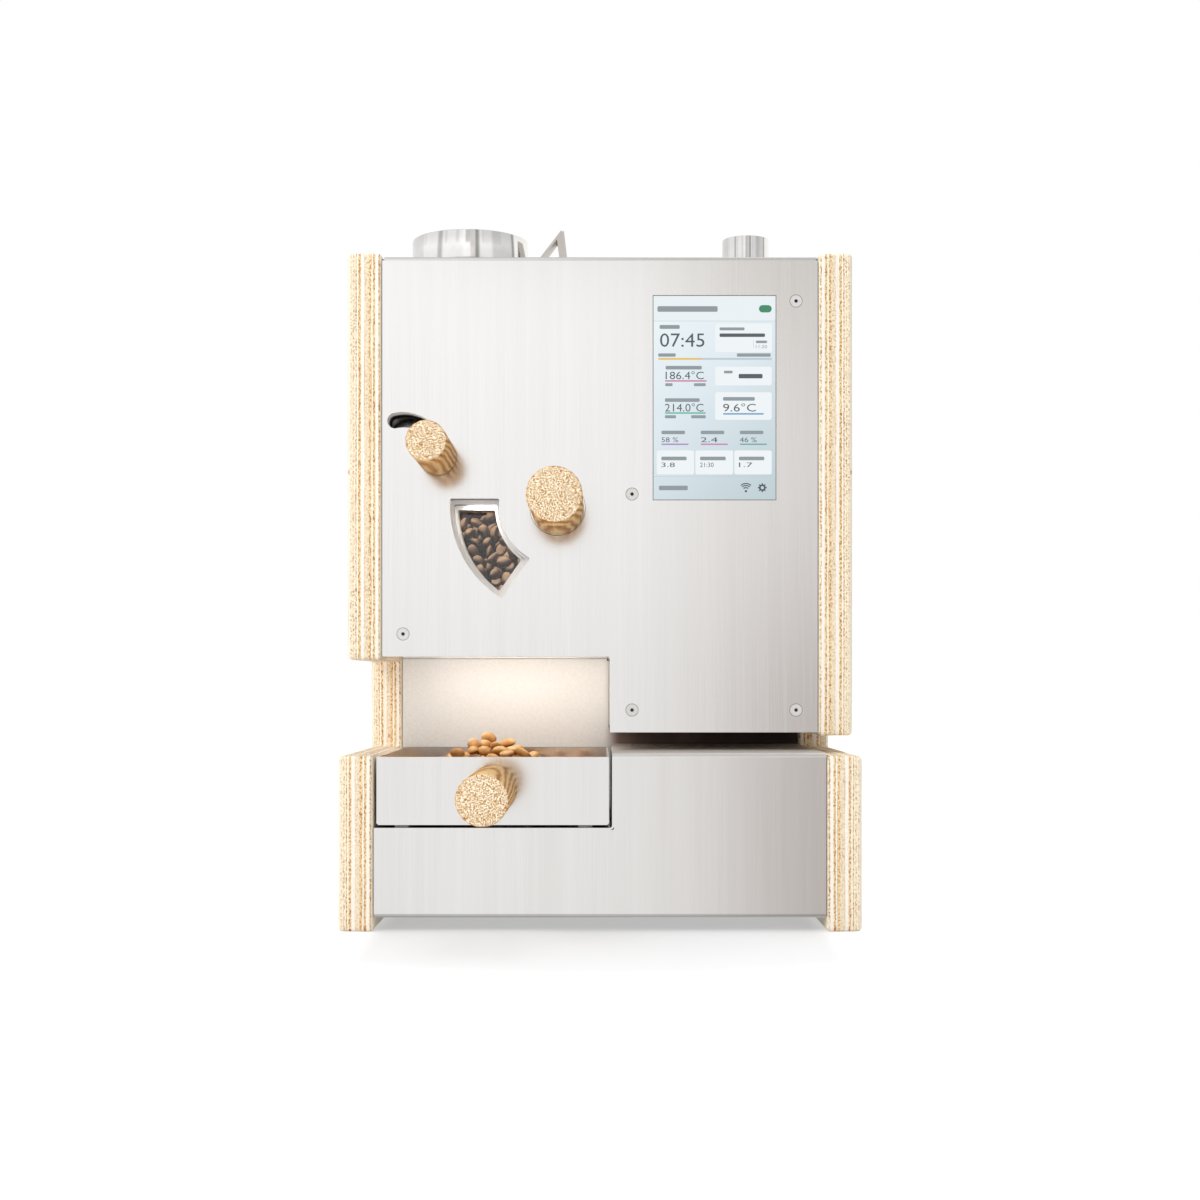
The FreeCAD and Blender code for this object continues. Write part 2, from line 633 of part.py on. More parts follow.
def base_cover():
    """Sheet folded round the base: top behind the front, stepped front, bottom."""
    half = SHEET / 2
    top = BASE_COVER_TOP - half
    low = BASE_BOTTOM + half
    path = [(RECESS_DEPTH - GAP, top), (BASE_Y + half, top), (BASE_Y + half, low),
            (REAR_Y - SHEET - GAP, low)]
    cover = folded_x(path, -SIDE, SIDE)
    opening = block(-WIDTH, OPENING_RIGHT, BASE_Y - 1, RECESS_DEPTH + 1, OPENING_BOTTOM, BASE_COVER_TOP + 1)
    cover = cover.cut(opening)
    cover = cover.cut(rod_y(OPENING_RIGHT, OPENING_BOTTOM, RELIEF_R, BASE_Y - 1, BASE_Y + 2 * SHEET))
    slots = []
    y1 = SUPPLY_BACK - SUPPLY_L / 2
    for k in range(FLOOR_SLOTS):
        x = FAN_X + FAN_SIZE * (k / FLOOR_SLOTS - 0.5) + SLOT_HALF / 2
        slots.append(block(x, x + SLOT_HALF, y1 - VENT_W, y1, BASE_BOTTOM - 1, FLOOR + 1))
    return cover.cut(fuse(slots))


def rear_cover():
    """Rear sheet with vent slots, the fan's openings and the cut-outs of inlet and switch."""
    y0, y1 = REAR_Y - SHEET, REAR_Y
    sheet = block(-SIDE, SIDE, y0, y1, BASE_BOTTOM, COVER_TOP)
    cuts = []
    for row in range(VENT_ROWS):
        for middle in (-SIDE / 2, 0, SIDE / 2):
            z = VENT_Z + VENT_PITCH * row
            x = middle - VENT_W / 2
            cuts.append(block(x, x + VENT_W, y0 - 1, y1 + 1, z, z + VENT_PITCH / 3))
    for ring, holes in ((0, 1), (11, 6), (22, 12), (33, 18)):
        for k in range(holes):
            x, z = polar(FAN_X, FAN_Z, ring, 360 * k / holes)
            cuts.append(prism_y([polar(x, z, 4.4, 60 * side) for side in range(6)], y0 - 1, y1 + 1))
    for x, half_x, half_z in ((INLET_X, INLET_HALF, INLET_HIGH), (SWITCH_X, SWITCH_HALF, SWITCH_HIGH)):
        cuts.append(block(x - half_x, x + half_x, y0 - 1, y1 + 1, REAR_Z - half_z, REAR_Z + half_z))
    for x, z in rear_screw_places():
        cuts.append(rod_y(x, z, SCREW_R + FIT, y0 - 1, y1 + 1))
    return sheet.cut(Part.makeCompound(cuts))


def rear_screw_places():
    """Four to a side, evenly from the base's bottom to the cover's top."""
    low, high = BASE_BOTTOM + 2 * REAR_SCREW_EDGE, COVER_TOP - 2 * REAR_SCREW_EDGE
    levels = [low + (high - low) * k / 3 for k in range(4)]
    return [(side * (SIDE - REAR_SCREW_EDGE), z) for side in (-1, 1) for z in levels]


def rear_screws():
    """Pan-head screws of the rear cover."""
    screws = []
    for x, z in rear_screw_places():
        head = rod_y(x, z, 3.6, REAR_Y, REAR_Y + 2.2)
        shank = rod_y(x, z, SCREW_R, REAR_Y - 10, REAR_Y)
        cross = block(x - 2, x + 2, REAR_Y + 1, REAR_Y + 3, z - 0.4, z + 0.4)
        cross = cross.fuse(block(x - 0.4, x + 0.4, REAR_Y + 1, REAR_Y + 3, z - 2, z + 2))
        screws.append(fuse([head, shank]).cut(cross))
    return Part.makeCompound(screws)


def rear_rails():
    """Two angle rails on the panels' inner faces that take the rear cover's screws."""
    rails = []
    y1 = REAR_Y - SHEET
    z0, z1 = FLOOR + SHEET, COVER_TOP - SHEET - 2 * GAP
    for side in (-1, 1):
        wall = side * SIDE
        tip = wall - side * RAIL_W
        inner = wall - side * RAIL_THICK
        rail = block(min(wall, tip), max(wall, tip), y1 - RAIL_THICK, y1, z0, z1)
        web = block(min(wall, inner), max(wall, inner), y1 - RAIL_W, y1, z0, z1)
        rail = rail.fuse(web)
        for x, z in rear_screw_places():
            rail = rail.cut(rod_y(x, z, SCREW_R + FIT, y1 - RAIL_W, y1 + 1))
        rails.append(rail.removeSplitter())
    return Part.makeCompound(rails)


# ---------------------------------------------------------------- roasting chamber
def bulkhead():
    """Front wall of the chamber: window, inlet, discharge, trier, lever and probe go through it."""
    y0, y1 = BULKHEAD_Y, BULKHEAD_BACK
    low_right = COVER_RIGHT + SHEET + GAP
    step = STEP_X + SHEET + GAP
    room = HOPPER_PORT_R + FUNNEL_FLANGE + 8.0
    left, right, sill = HOPPER_X - room, HOPPER_X + room + 20.0, INLET_NECK_Z - 13.0
    outline = [(-SIDE, PAN_TOP), (step, PAN_TOP), (step, low_right + BEND), (step + BEND, low_right),
               (SIDE, low_right), (SIDE, UNDER_TOP), (right, UNDER_TOP), (right, sill), (left, sill),
               (left, UNDER_TOP), (-SIDE, UNDER_TOP)]
    wall = prism_y(outline, y0, y1)
    cuts = [window_sector(WINDOW_STEP, y0 - 1, y1 + 1),
            rod_y(TRIER_X, TRIER_Z, TRIER_R + BUSHING_WALL + FIT, y0 - 1, y1 + 1),
            block(PORT_X0, PORT_X1, y0 - 1, y1 + 1, PORT_Z0, PORT_Z1),
            block(INLET_PORT_X - INLET_HALF_X, INLET_PORT_X + INLET_HALF_X, y0 - 1, y1 + 1,
                  INLET_PORT_Z0, INLET_PORT_Z1),
            rod_y(LEVER_X, LEVER_Z, LEVER_BUSH_R, y0 - 1, y1 + 1),
            rod_y(PROBE_X, PROBE_Z, PROBE_NECK_R + FIT, y0 - 1, y1 + 1)]
    for cut in cuts:
        wall = wall.cut(cut)
    return wall


def rear_plate():
    """Rear wall of the chamber with the hot-air ports and the outlet of the spent air."""
    y0, y1 = REAR_PLATE_Y, REAR_PLATE_BACK
    wall = block(-SIDE, SIDE, y0, y1, DRUM_Z - PLATE_BELOW, DRUM_Z + PLATE_ABOVE)
    wall = wall.cut(rod_y(DRUM_X, DRUM_Z, DRUM_SHAFT_R + 2, y0 - 1, y1 + 1))
    pitch = (HEATER_X1 - HEATER_X0 - AIR_PORT_EDGE * 2) / (AIR_PORTS - 1)
    for k in range(AIR_PORTS):
        x = HEATER_X0 + AIR_PORT_EDGE + pitch * k
        wall = wall.cut(rod_y(x, HEATER_Z1 - HEATER_HIGH * 0.6, AIR_PORT_R, y0 - 1, y1 + 1))
    x0 = OUTLET_X0 + OUTLET_EDGE
    z0, z1 = OUTLET_Z0 + OUTLET_EDGE, OUTLET_Z1 - OUTLET_EDGE
    return wall.cut(block(x0, x0 + OUTLET_W, y0 - 1, y1 + 1, z0, z1))


def chamber_shell():
    shell = tube_y(DRUM_X, DRUM_Z, SHELL_R + SHELL_WALL, SHELL_R, BULKHEAD_BACK + GAP, REAR_PLATE_Y - GAP)
    return shell


def insulation():
    inside = SHELL_R + SHELL_WALL + GAP
    return tube_y(DRUM_X, DRUM_Z, JACKET_R, inside, BULKHEAD_BACK + GAP, REAR_PLATE_Y - GAP)


def window_bezel():
    """Stepped tunnel from the cover's cut-out to the sight glass, seated on the bulkhead."""
    y0, y1 = COVER_BACK + GAP, BULKHEAD_Y - GAP
    seat = y1 - GLASS - GAP
    ledges = (y1 - y0) * 0.25
    tunnel = window_sector(-BEZEL_WALL, y0, y1, BEZEL_WALL)
    tunnel = tunnel.cut(window_sector(0, y0 - 1, y0 + ledges))
    tunnel = tunnel.cut(window_sector(WINDOW_STEP / 2, y0, y0 + 2 * ledges))
    tunnel = tunnel.cut(window_sector(WINDOW_STEP, y0, y1 + 1))
    return tunnel.cut(window_sector(WINDOW_STEP - WINDOW_SEAT, seat, y1 + 1))


def sight_glass():
    """Pane held between the bezel's shoulder and the bulkhead."""
    glass = BULKHEAD_Y - GAP
    return window_sector(WINDOW_STEP - WINDOW_SEAT + GAP, glass - GLASS, glass)


def drum():
    """Open-fronted drum with a perforated back, a hub and pitched mixing vanes."""
    y0 = BULKHEAD_BACK + DRUM_SLACK
    y1 = y0 + DRUM_LENGTH
    shell = tube_y(DRUM_X, DRUM_Z, DRUM_R + DRUM_WALL, DRUM_R, y0, y1)
    back = tube_y(DRUM_X, DRUM_Z, DRUM_R + DRUM_WALL, DRUM_SHAFT_R, y1 - DRUM_BACK, y1)
    holes = []
    for ring in DRUM_HOLE_RINGS:
        number = round(2 * math.pi * ring / DRUM_HOLE_PITCH)
        for k in range(number):
            x, z = polar(DRUM_X, DRUM_Z, ring, 360 * k / number)
            holes.append(rod_y(x, z, DRUM_HOLE_R, y1 - DRUM_BACK - 1, y1 + 1))
    back = back.cut(Part.makeCompound(holes))
    hub = tube_y(DRUM_X, DRUM_Z, DRUM_HUB_R, DRUM_SHAFT_R, y1 - DRUM_HUB_L, y1 + HUB_BOSS)
    pieces = [shell, back, hub]
    middle = (y0 + y1) / 2
    for k in range(VANES):
        vane = block(DRUM_X + DRUM_R - VANE_DEPTH, DRUM_X + DRUM_R + DRUM_WALL / 3,
                     y0 + VANE_ENDS, y1 - VANE_ENDS, DRUM_Z - VANE_THICK / 2, DRUM_Z + VANE_THICK / 2)
        vane.rotate(vec(DRUM_X + DRUM_R, middle, DRUM_Z), vec(1, 0, 0), VANE_PITCH)
        vane.rotate(vec(DRUM_X, middle, DRUM_Z), vec(0, 1, 0), 360 * k / VANES)
        pieces.append(vane)
    body = fuse(pieces)
    return body.common(rod_y(DRUM_X, DRUM_Z, DRUM_R + DRUM_WALL, y0, y1 + HUB_BOSS))


def drum_shaft():
    y0 = BULKHEAD_BACK + DRUM_SLACK + DRUM_LENGTH - DRUM_HUB_L - DRUM_BACK
    return rod_y(DRUM_X, DRUM_Z, DRUM_SHAFT_R - FIT, y0, BRACKET_Y + PLATE + BEARING_W - PLATE)


def drum_gear():
    y0, y1 = GEAR_Y - GEAR_BOSS, GEAR_Y + GEAR_FACE
    wheel = gear(DRUM_X, DRUM_Z, GEAR_MODULE, GEAR_TEETH, GEAR_Y, y1)
    wheel = wheel.fuse(rod_y(DRUM_X, DRUM_Z, GEAR_HUB_R, y0, y1))
    wheel = wheel.cut(rod_y(DRUM_X, DRUM_Z, DRUM_SHAFT_R, y0 - 1, y1 + 1))
    for k in range(6):
        x, z = polar(DRUM_X, DRUM_Z, GEAR_R * 0.62, 60 * k)
        wheel = wheel.cut(rod_y(x, z, GEAR_R / 6, y0 - 1, y1 + 1))
    return wheel


def motor_pinion():
    turn = 180 + 180 / PINION_TEETH
    pinion = gear(MOTOR_X, DRUM_Z, GEAR_MODULE, PINION_TEETH, GEAR_Y - 0.5, GEAR_Y + GEAR_FACE + 0.5, turn)
    shaft = rod_y(MOTOR_X, DRUM_Z, SHAFT_R, GEAR_Y - 2, BRACKET_Y + PLATE + MOTOR_BORE - 2)
    return fuse([pinion, shaft])


def bearing(y0):
    ring = tube_y(DRUM_X, DRUM_Z, BEARING_R, DRUM_SHAFT_R, y0, y0 + BEARING_W)
    groove = tube_y(DRUM_X, DRUM_Z, BEARING_R * 0.75, DRUM_SHAFT_R + 3, y0 - 1, y0 + 1.2)
    return ring.cut(groove)


def drive_bracket():
    """Plate on four posts behind the rear plate; carries the second bearing and the motor."""
    half_z = MOTOR_R + 4.0
    x0, x1 = DRUM_X - GEAR_R - 3.0, MOTOR_X + MOTOR_R + 15.0
    z0, z1 = DRUM_Z - half_z, DRUM_Z + half_z
    y1 = BRACKET_Y + PLATE
    pieces = [block(x0, x1, BRACKET_Y, y1, z0, z1)]
    for x in (x0 + POST_R + 1, x1 - POST_R - 1):
        for z, edge in ((z0 - POST_OUT, z0), (z1 + POST_OUT, z1)):
            pieces.append(rod_y(x, z, POST_R, REAR_PLATE_BACK, y1))
            pieces.append(block(x - POST_R, x + POST_R, BRACKET_Y, y1, min(z, edge), max(z, edge)))
    plate = fuse(pieces)
    plate = plate.cut(rod_y(DRUM_X, DRUM_Z, BEARING_R - 4, BRACKET_Y - 1, y1 + 1))
    return plate.cut(rod_y(MOTOR_X, DRUM_Z, SHAFT_R + 5, BRACKET_Y - 1, y1 + 1))


def drum_motor():
    """Gearmotor bolted behind the drive bracket."""
    y0 = BRACKET_Y + PLATE
    gearbox = rod_y(MOTOR_X, DRUM_Z, MOTOR_R, y0, y0 + MOTOR_L * 0.4)
    can = rod_y(MOTOR_X, DRUM_Z, MOTOR_R - 4, y0, y0 + MOTOR_L)
    bore = rod_y(MOTOR_X, DRUM_Z, SHAFT_R + FIT, y0 - 1, y0 + MOTOR_BORE)
    return fuse([gearbox, can]).cut(bore)


# ---------------------------------------------------------------- lever and discharge gate
def slot_guide():
    """Deep guide behind the cover's arc slot; its wall closes in ledge by ledge."""
    y0 = COVER_BACK + GAP
    y1 = y0 + SLOT_GUIDE
    ledge = SLOT_GUIDE / SLOT_LEDGES
    guide = arc_slot(SLOT_HALF + SLOT_RIM, y0, y1)
    for k in range(SLOT_LEDGES):
        end = y0 + ledge * (k + 1)
        guide = guide.cut(arc_slot(SLOT_HALF - SLOT_STEP * k, y0 - 1, end if end < y1 - 1 else y1 + 1))
    return guide.common(block(-SIDE, SIDE, y0, y1, 0, HEIGHT))


def lever_bush():
    y0, y1 = BULKHEAD_Y - 1, BULKHEAD_BACK + 2 * PLATE
    return tube_y(LEVER_X, LEVER_Z, LEVER_BUSH_R - FIT, SHAFT_R + FIT, y0, y1)


def lever_shaft():
    """Shaft with its arm and the toothed pinion that lifts the gate."""
    arm_y0 = COVER_BACK + GAP + SLOT_GUIDE + 1.0
    arm_y1 = arm_y0 + LEVER_ARM
    shaft = rod_y(LEVER_X, LEVER_Z, SHAFT_R, arm_y0, BULKHEAD_BACK + 3 * PLATE)
    y1 = BULKHEAD_Y - 1.5
    pinion = gear(LEVER_X, LEVER_Z, RACK_MODULE, RACK_TEETH, y1 - RACK_FACE, y1)
    x, z = polar(LEVER_X, LEVER_Z, LEVER_R, LEVER_REST)
    hub = rod_y(LEVER_X, LEVER_Z, SHAFT_R + 3, arm_y0, arm_y1)
    eye = rod_y(x, z, STEM_R * 2, arm_y0, arm_y1)
    web = block(LEVER_X, LEVER_X + LEVER_R, arm_y0, arm_y1, LEVER_Z - SHAFT_R - 1, LEVER_Z + SHAFT_R + 1)
    web.rotate(vec(LEVER_X, 0, LEVER_Z), vec(0, 1, 0), -LEVER_REST)
    stem = rod_y(x, z, STEM_R, LEVER_KNOB_BACK - STEM_DEPTH, arm_y1)
    return fuse([shaft, pinion, hub, eye, web, stem])


def oak_knob(x, z, r, back, length, stem_depth):
    """Turned oak knob with eased rims and a bore for its steel stem."""
    knob = rod_y(x, z, r, back - length, back)
    knob = knob.makeChamfer(KNOB_EASE, [e for e in knob.Edges if e.Curve.TypeId == "Part::GeomCircle"])
    return knob.cut(rod_y(x, z, STEM_R + FIT, back - stem_depth - STEM_ROOM, back + 1))


def lever_knob():
    x, z = polar(LEVER_X, LEVER_Z, LEVER_R, LEVER_REST)
    return oak_knob(x, z, LEVER_KNOB_R, LEVER_KNOB_BACK, LEVER_KNOB_L, STEM_DEPTH)


def rack_x():
    return LEVER_X + RACK_PITCH_R


def gate():
    """Rack bar, cross bar and port plate in one piece; the port lines up when it is lifted."""
    pitch = math.pi * RACK_MODULE
    y1 = BULKHEAD_Y - GAP
    x0 = rack_x()
    tip, root = x0 - 0.85 * RACK_MODULE, x0 + 1.25 * RACK_MODULE
    slope = math.tan(math.radians(20))
    low = LEVER_Z - GATE_LIFT - 3 * pitch
    gaps = int((LEVER_Z - low) / pitch) + 3
    z0 = LEVER_Z - pitch * (gaps - 3)
    bar_x1 = root + RACK_BAR
    bottom = PORT_Z0 - GATE_LIFT - 8.0
    rack = block(tip, bar_x1, y1 - RACK_FACE, y1, bottom, z0 + pitch * gaps)
    cuts = []
    for k in range(gaps):
        z = z0 + pitch * k
        wide = pitch / 4 + BACKLASH + (x0 - tip) * slope + slope
        narrow = pitch / 4 + BACKLASH - (root - x0) * slope
        tooth = [(tip - 1, z - wide), (root, z - narrow), (root, z + narrow), (tip - 1, z + wide)]
        cuts.append(prism_y(tooth, y1 - RACK_FACE - 1, y1 + 1))
    rack = rack.cut(Part.makeCompound(cuts))
    top = PORT_Z1 + GATE_EDGE
    cross = block(tip, PORT_X0 - GATE_EDGE + 1, y1 - GATE_THICK, y1, bottom, bottom + 9)
    plate = block(PORT_X0 - GATE_EDGE, PORT_X1 + GATE_EDGE, y1 - GATE_THICK, y1, bottom, top)
    port = block(PORT_X0, PORT_X1, y1 - 9, y1 + 1, PORT_Z0 - GATE_LIFT, PORT_Z1 - GATE_LIFT)
    shaved = block(tip - 1, root, y1 - RACK_FACE - 1, y1 + 1, 0, z0 - pitch / 2)
    return fuse([rack.cut(shaved), cross.cut(shaved), plate]).cut(port)


def gate_guides():
    """Hooked keeps on the bulkhead: one beside the rack bar, one beside the port plate."""
    y1 = BULKHEAD_Y
    keeps = []
    bar = rack_x() + 1.25 * RACK_MODULE + RACK_BAR
    plate = PORT_X1 + GATE_EDGE
    for edge, thick, z0 in ((bar, RACK_FACE, (DRUM_Z + PORT_Z1) / 2 + 18), (plate, GATE_THICK, PORT_Z0 - 4)):
        z1 = z0 + GUIDE_HIGH
        lip = y1 - GAP - thick - GAP
        post = block(edge + GAP, edge + GUIDE_WALL, lip - GUIDE_LIP, y1, z0, z1)
        hook = block(edge - GUIDE_LIP, edge + GUIDE_WALL, lip - GUIDE_LIP, lip, z0, z1)
        keeps.append(fuse([post, hook]))
    return Part.makeCompound(keeps)


def discharge_chute():
    """Sheet chute in front of the gate, from the port down to the mouth over the tray."""
    wall = FUNNEL_SHEET
    y0, y1 = HEAD_Y + CHUTE_APRON - 2, BULKHEAD_Y - 2 * GAP - GATE_THICK
    top = PORT_Z1 + 3
    half = GATE_PORT_W / 2
    bend_z = PORT_Z0 - 2

    def outline(grow, over):
        return [(GATE_PORT_X - half - grow, top + over), (GATE_PORT_X - half - grow, bend_z),
                (CHUTE_DROP_X - half - grow, PAN_TOP - over), (CHUTE_DROP_X + half + grow, PAN_TOP - over),
                (GATE_PORT_X + half + grow, bend_z), (GATE_PORT_X + half + grow, top + over)]

    outer = prism_y(outline(-GAP, 0), y0, y1)
    inner = prism_y(outline(-GAP - wall, 0.5), y0 + wall, y1 + 1)
    back = y1 - CHUTE_APRON
    apron = prism_y(outline(-GAP - wall / 2, 0), back, back + wall)
    apron = apron.common(block(-INNER, INNER, 0, DEPTH, PAN_TOP, bend_z - 2))
    outer = outer.cut(block(-INNER, INNER, back + wall, y1 + 1, PAN_TOP - 1, bend_z - 2))
    return fuse([outer.cut(inner), apron])


# ---------------------------------------------------------------- trier and probe
def trier_bushing():
    """Steel ring on the cover with the tube that guides the trier through to the drum."""
    y0, y1 = HEAD_Y - GAP - TRIER_RING, HEAD_Y - GAP
    ring = rod_y(TRIER_X, TRIER_Z, TRIER_RING_R, y0, y1)
    tube = rod_y(TRIER_X, TRIER_Z, TRIER_R + BUSHING_WALL, y0, BULKHEAD_BACK)
    return fuse([ring, tube]).cut(rod_y(TRIER_X, TRIER_Z, TRIER_R + FIT, y0 - 1, BULKHEAD_BACK + 1))


def trier_tube():
    """Sampling tube: closed where it runs in the bushing, a trough inside the drum."""
    y0, y1 = TRIER_KNOB_BACK, HEAD_Y + TRIER_DEPTH
    tube = rod_y(TRIER_X, TRIER_Z, TRIER_R, y0, y1)
    hollow = rod_y(TRIER_X, TRIER_Z, TRIER_R - TRIER_WALL, BULKHEAD_BACK + PLATE, y1 - 2)
    mouth = block(TRIER_X - 2 * TRIER_R, TRIER_X + 2 * TRIER_R, BULKHEAD_BACK + 2 * PLATE, y1 - 6,
                  TRIER_Z + 1, TRIER_Z + 2 * TRIER_R)
    stem = rod_y(TRIER_X, TRIER_Z, STEM_R, y0 - TRIER_STEM_DEPTH, HEAD_Y)
    return fuse([tube.cut(hollow).cut(mouth), stem])


def trier_knob():
    return oak_knob(TRIER_X, TRIER_Z, TRIER_KNOB_R, TRIER_KNOB_BACK, TRIER_KNOB_L, TRIER_STEM_DEPTH)


def bean_probe():
    """Thermocouple through the bulkhead into the drum, inside the sweep of the vanes."""
    rod = rod_y(PROBE_X, PROBE_Z, PROBE_R, BULKHEAD_Y - 3 * PLATE, BULKHEAD_BACK + PROBE_REACH)
    gland = rod_y(PROBE_X, PROBE_Z, PROBE_R * 3, BULKHEAD_Y - 2 * PLATE, BULKHEAD_Y)
    neck = rod_y(PROBE_X, PROBE_Z, PROBE_NECK_R, BULKHEAD_Y, BULKHEAD_BACK)
    return fuse([rod, gland, neck])


# ---------------------------------------------------------------- display and electronics
def display_glass():
    x, z = SCREEN_W / 2 + SCREEN_BEZEL, SCREEN_H / 2 + SCREEN_BEZEL
    pane = block(SCREEN_X - x, SCREEN_X + x, SCREEN_Y, SCREEN_Y + SCREEN_GLASS, SCREEN_Z - z, SCREEN_Z + z)
    return round_edges(pane, vec(0, 1, 0), SCREEN_ROUND)


def display_module():
    """Display housing on four feet that stand on the bulkhead."""
    x, z = SCREEN_W / 2 + SCREEN_BEZEL, SCREEN_H / 2 + SCREEN_BEZEL
    y0 = SCREEN_Y + SCREEN_GLASS
    y1 = y0 + SCREEN_THICK
    body = block(SCREEN_X - x, SCREEN_X + x, y0, y1, SCREEN_Z - z, SCREEN_Z + z)
    body = round_edges(body, vec(0, 1, 0), SCREEN_ROUND)
    feet = []
    for sx in (-1, 1):
        for sz in (-1, 1):
            foot_x = SCREEN_X + sx * (x - 2 * SCREEN_FOOT_R)
            foot_z = SCREEN_Z + sz * (z - 2 * SCREEN_FOOT_R)
            feet.append(rod_y(foot_x, foot_z, SCREEN_FOOT_R, y1, BULKHEAD_Y))
    return fuse([body] + feet)


def circuit_board(x0, x1, y0, y1, z):
    """Board lying flat on four standoffs, with its chip, a connector and three capacitors."""
    top = z + BOARD_THICK
    pieces = [block(x0, x1, y0, y1, z, top)]
    for x in (x0 + POST_R, x1 - POST_R):
        for y in (y0 + POST_R, y1 - POST_R):
            pieces.append(rod_z(x, y, 3, FLOOR, z))
    pieces.append(block(x0 + 15, x0 + 35, y0 + 20, y0 + 40, top, top + 2.4))
    pieces.append(block(x1 - 30, x1 - 10, y0 + 4, y0 + 16, top, top + 10.4))
    for k in range(3):
        pieces.append(rod_z(x0 + 20 + 16 * k, y1 - 16, 5, top, top + 16.4))
    return fuse(pieces)


def control_board():
    return circuit_board(BOARD_X0, BOARD_X0 + BOARD_W, BOARD_Y0, BOARD_Y0 + BOARD_L, FLOOR + BOARD_LIFT)


def power_supply():
    """Caged power supply on the base's floor, with vent slots in its lid."""
    x0, y0 = BOARD_X0, SUPPLY_BACK - SUPPLY_L
    top = FLOOR + SUPPLY_H
    case = block(x0, x0 + SUPPLY_W, y0, SUPPLY_BACK, FLOOR, top)
    cuts = []
    pitch = SUPPLY_L / (SUPPLY_VENTS + 2)
    margin = SUPPLY_W * 0.15
    for k in range(SUPPLY_VENTS):
        y = y0 + pitch * (k + 1)
        cuts.append(block(x0 + margin, x0 + SUPPLY_W - margin, y, y + pitch / 2, top - SHEET, top + 1))
    return case.cut(Part.makeCompound(cuts))


# ---------------------------------------------------------------- tray and its well
def tray_well():
    """Folded trough in the base that carries the tray; air is drawn down through its hole."""
    half = SHEET / 2
    floor = OPENING_BOTTOM - half
    right = OPENING_RIGHT + half
    path = [(-SIDE, floor), (right, floor), (right, BASE_COVER_TOP - SHEET - BEND - GAP)]
    well = folded_y(path, BASE_Y + SHEET + GAP, WELL_BACK)
    stop = block(-SIDE, right, WELL_BACK, WELL_BACK + SHEET, floor - half, BASE_COVER_TOP - 2 * SHEET)
    well = fuse([well, stop])
    return well.cut(rod_z(TRAY_KNOB_X, TRAY_HOLE_Y, TRAY_HOLE_R, floor - 2 * SHEET, floor + 2 * SHEET))


def tray_glides():
    """Low-friction strips on the well's floor under the tray."""
    strips = []
    for x in (TRAY_X0 + GLIDE_EDGE, TRAY_RIGHT - GLIDE_EDGE - GLIDE_W):
        strips.append(block(x, x + GLIDE_W, BASE_Y + 8, RECESS_DEPTH - 8, OPENING_BOTTOM, TRAY_BOTTOM - GAP))
    return Part.makeCompound(strips)


def tray():
    """Folded drawer: front, sides and back turned up from one sheet, with returns at the front corners."""
    half = SHEET / 2
    x0, x1 = TRAY_X0 + half, TRAY_RIGHT - half
    floor = TRAY_BOTTOM + half
    y0, y1 = BASE_Y, BASE_Y + TRAY_LENGTH
    trough = folded_y([(x0, TRAY_TOP), (x0, floor), (x1, floor), (x1, TRAY_TOP)], y0 + SHEET, y1 - SHEET)
    front = block(TRAY_X0, TRAY_RIGHT, y0, y0 + SHEET, TRAY_BOTTOM, TRAY_TOP)
    back = block(TRAY_X0, TRAY_RIGHT, y1 - SHEET, y1, TRAY_BOTTOM, TRAY_TOP)
    body = fuse([trough, front, back])
    ledges = []
    z = TRAY_BOTTOM + SCREEN_RISE
    inner = TRAY_X0 + SHEET, TRAY_RIGHT - SHEET
    for a, b in ((inner[0], TRAY_X0 + TRAY_LEDGE), (TRAY_RIGHT - TRAY_LEDGE, inner[1])):
        ledges.append(block(a, b, y0 + SHEET, y1 - SHEET, z - 2, z))
    for x in (inner[0], inner[1] - TRAY_LEDGE):
        ledges.append(block(x, x + TRAY_LEDGE, y0 + SHEET, y0 + 2 * SHEET, TRAY_BOTTOM + SHEET, TRAY_TOP))
    body = fuse([body] + ledges)
    hole = rod_z(TRAY_KNOB_X, TRAY_HOLE_Y, TRAY_HOLE_R, TRAY_BOTTOM - SHEET, TRAY_BOTTOM + 2 * SHEET)
    screw = rod_y(TRAY_KNOB_X, TRAY_KNOB_Z, STEM_R + FIT, y0 - 1, y0 + 2 * SHEET)
    body = body.cut(hole).cut(screw)
    for x in (TRAY_X0, TRAY_RIGHT):
        body = body.cut(rod_y(x, TRAY_BOTTOM, TRAY_RELIEF_R, y0 - 1, y0 + SHEET))
    return body


def tray_screen():
    """Slotted screen on the tray's ledges; the beans lie on it while air is drawn through."""
    z = TRAY_BOTTOM + SCREEN_RISE
    x0, x1 = TRAY_X0 + SHEET + GAP, TRAY_RIGHT - SHEET - GAP
    y0, y1 = BASE_Y + 2 * SHEET + GAP, BASE_Y + TRAY_LENGTH - SHEET - GAP
    screen = block(x0, x1, y0, y1, z, z + FUNNEL_SHEET)
    cuts = []
    pitch_x = (x1 - x0 - TRAY_LEDGE * 2) / SCREEN_COLUMNS
    pitch_y = (y1 - y0 - TRAY_LEDGE * 2) / SCREEN_ROWS
    for i in range(SCREEN_COLUMNS):
        for k in range(SCREEN_ROWS):
            x = x0 + TRAY_LEDGE + (i + 0.15) * pitch_x
            y = y0 + TRAY_LEDGE + (k + 0.4) * pitch_y
            cuts.append(block(x, x + 0.7 * pitch_x, y, y + 0.25 * pitch_y, z - 1, z + 2))
    return screen.cut(Part.makeCompound(cuts))


def tray_knob():
    return oak_knob(TRAY_KNOB_X, TRAY_KNOB_Z, TRAY_KNOB_R, BASE_Y - GAP, TRAY_KNOB_L, TRAY_STEM_DEPTH)


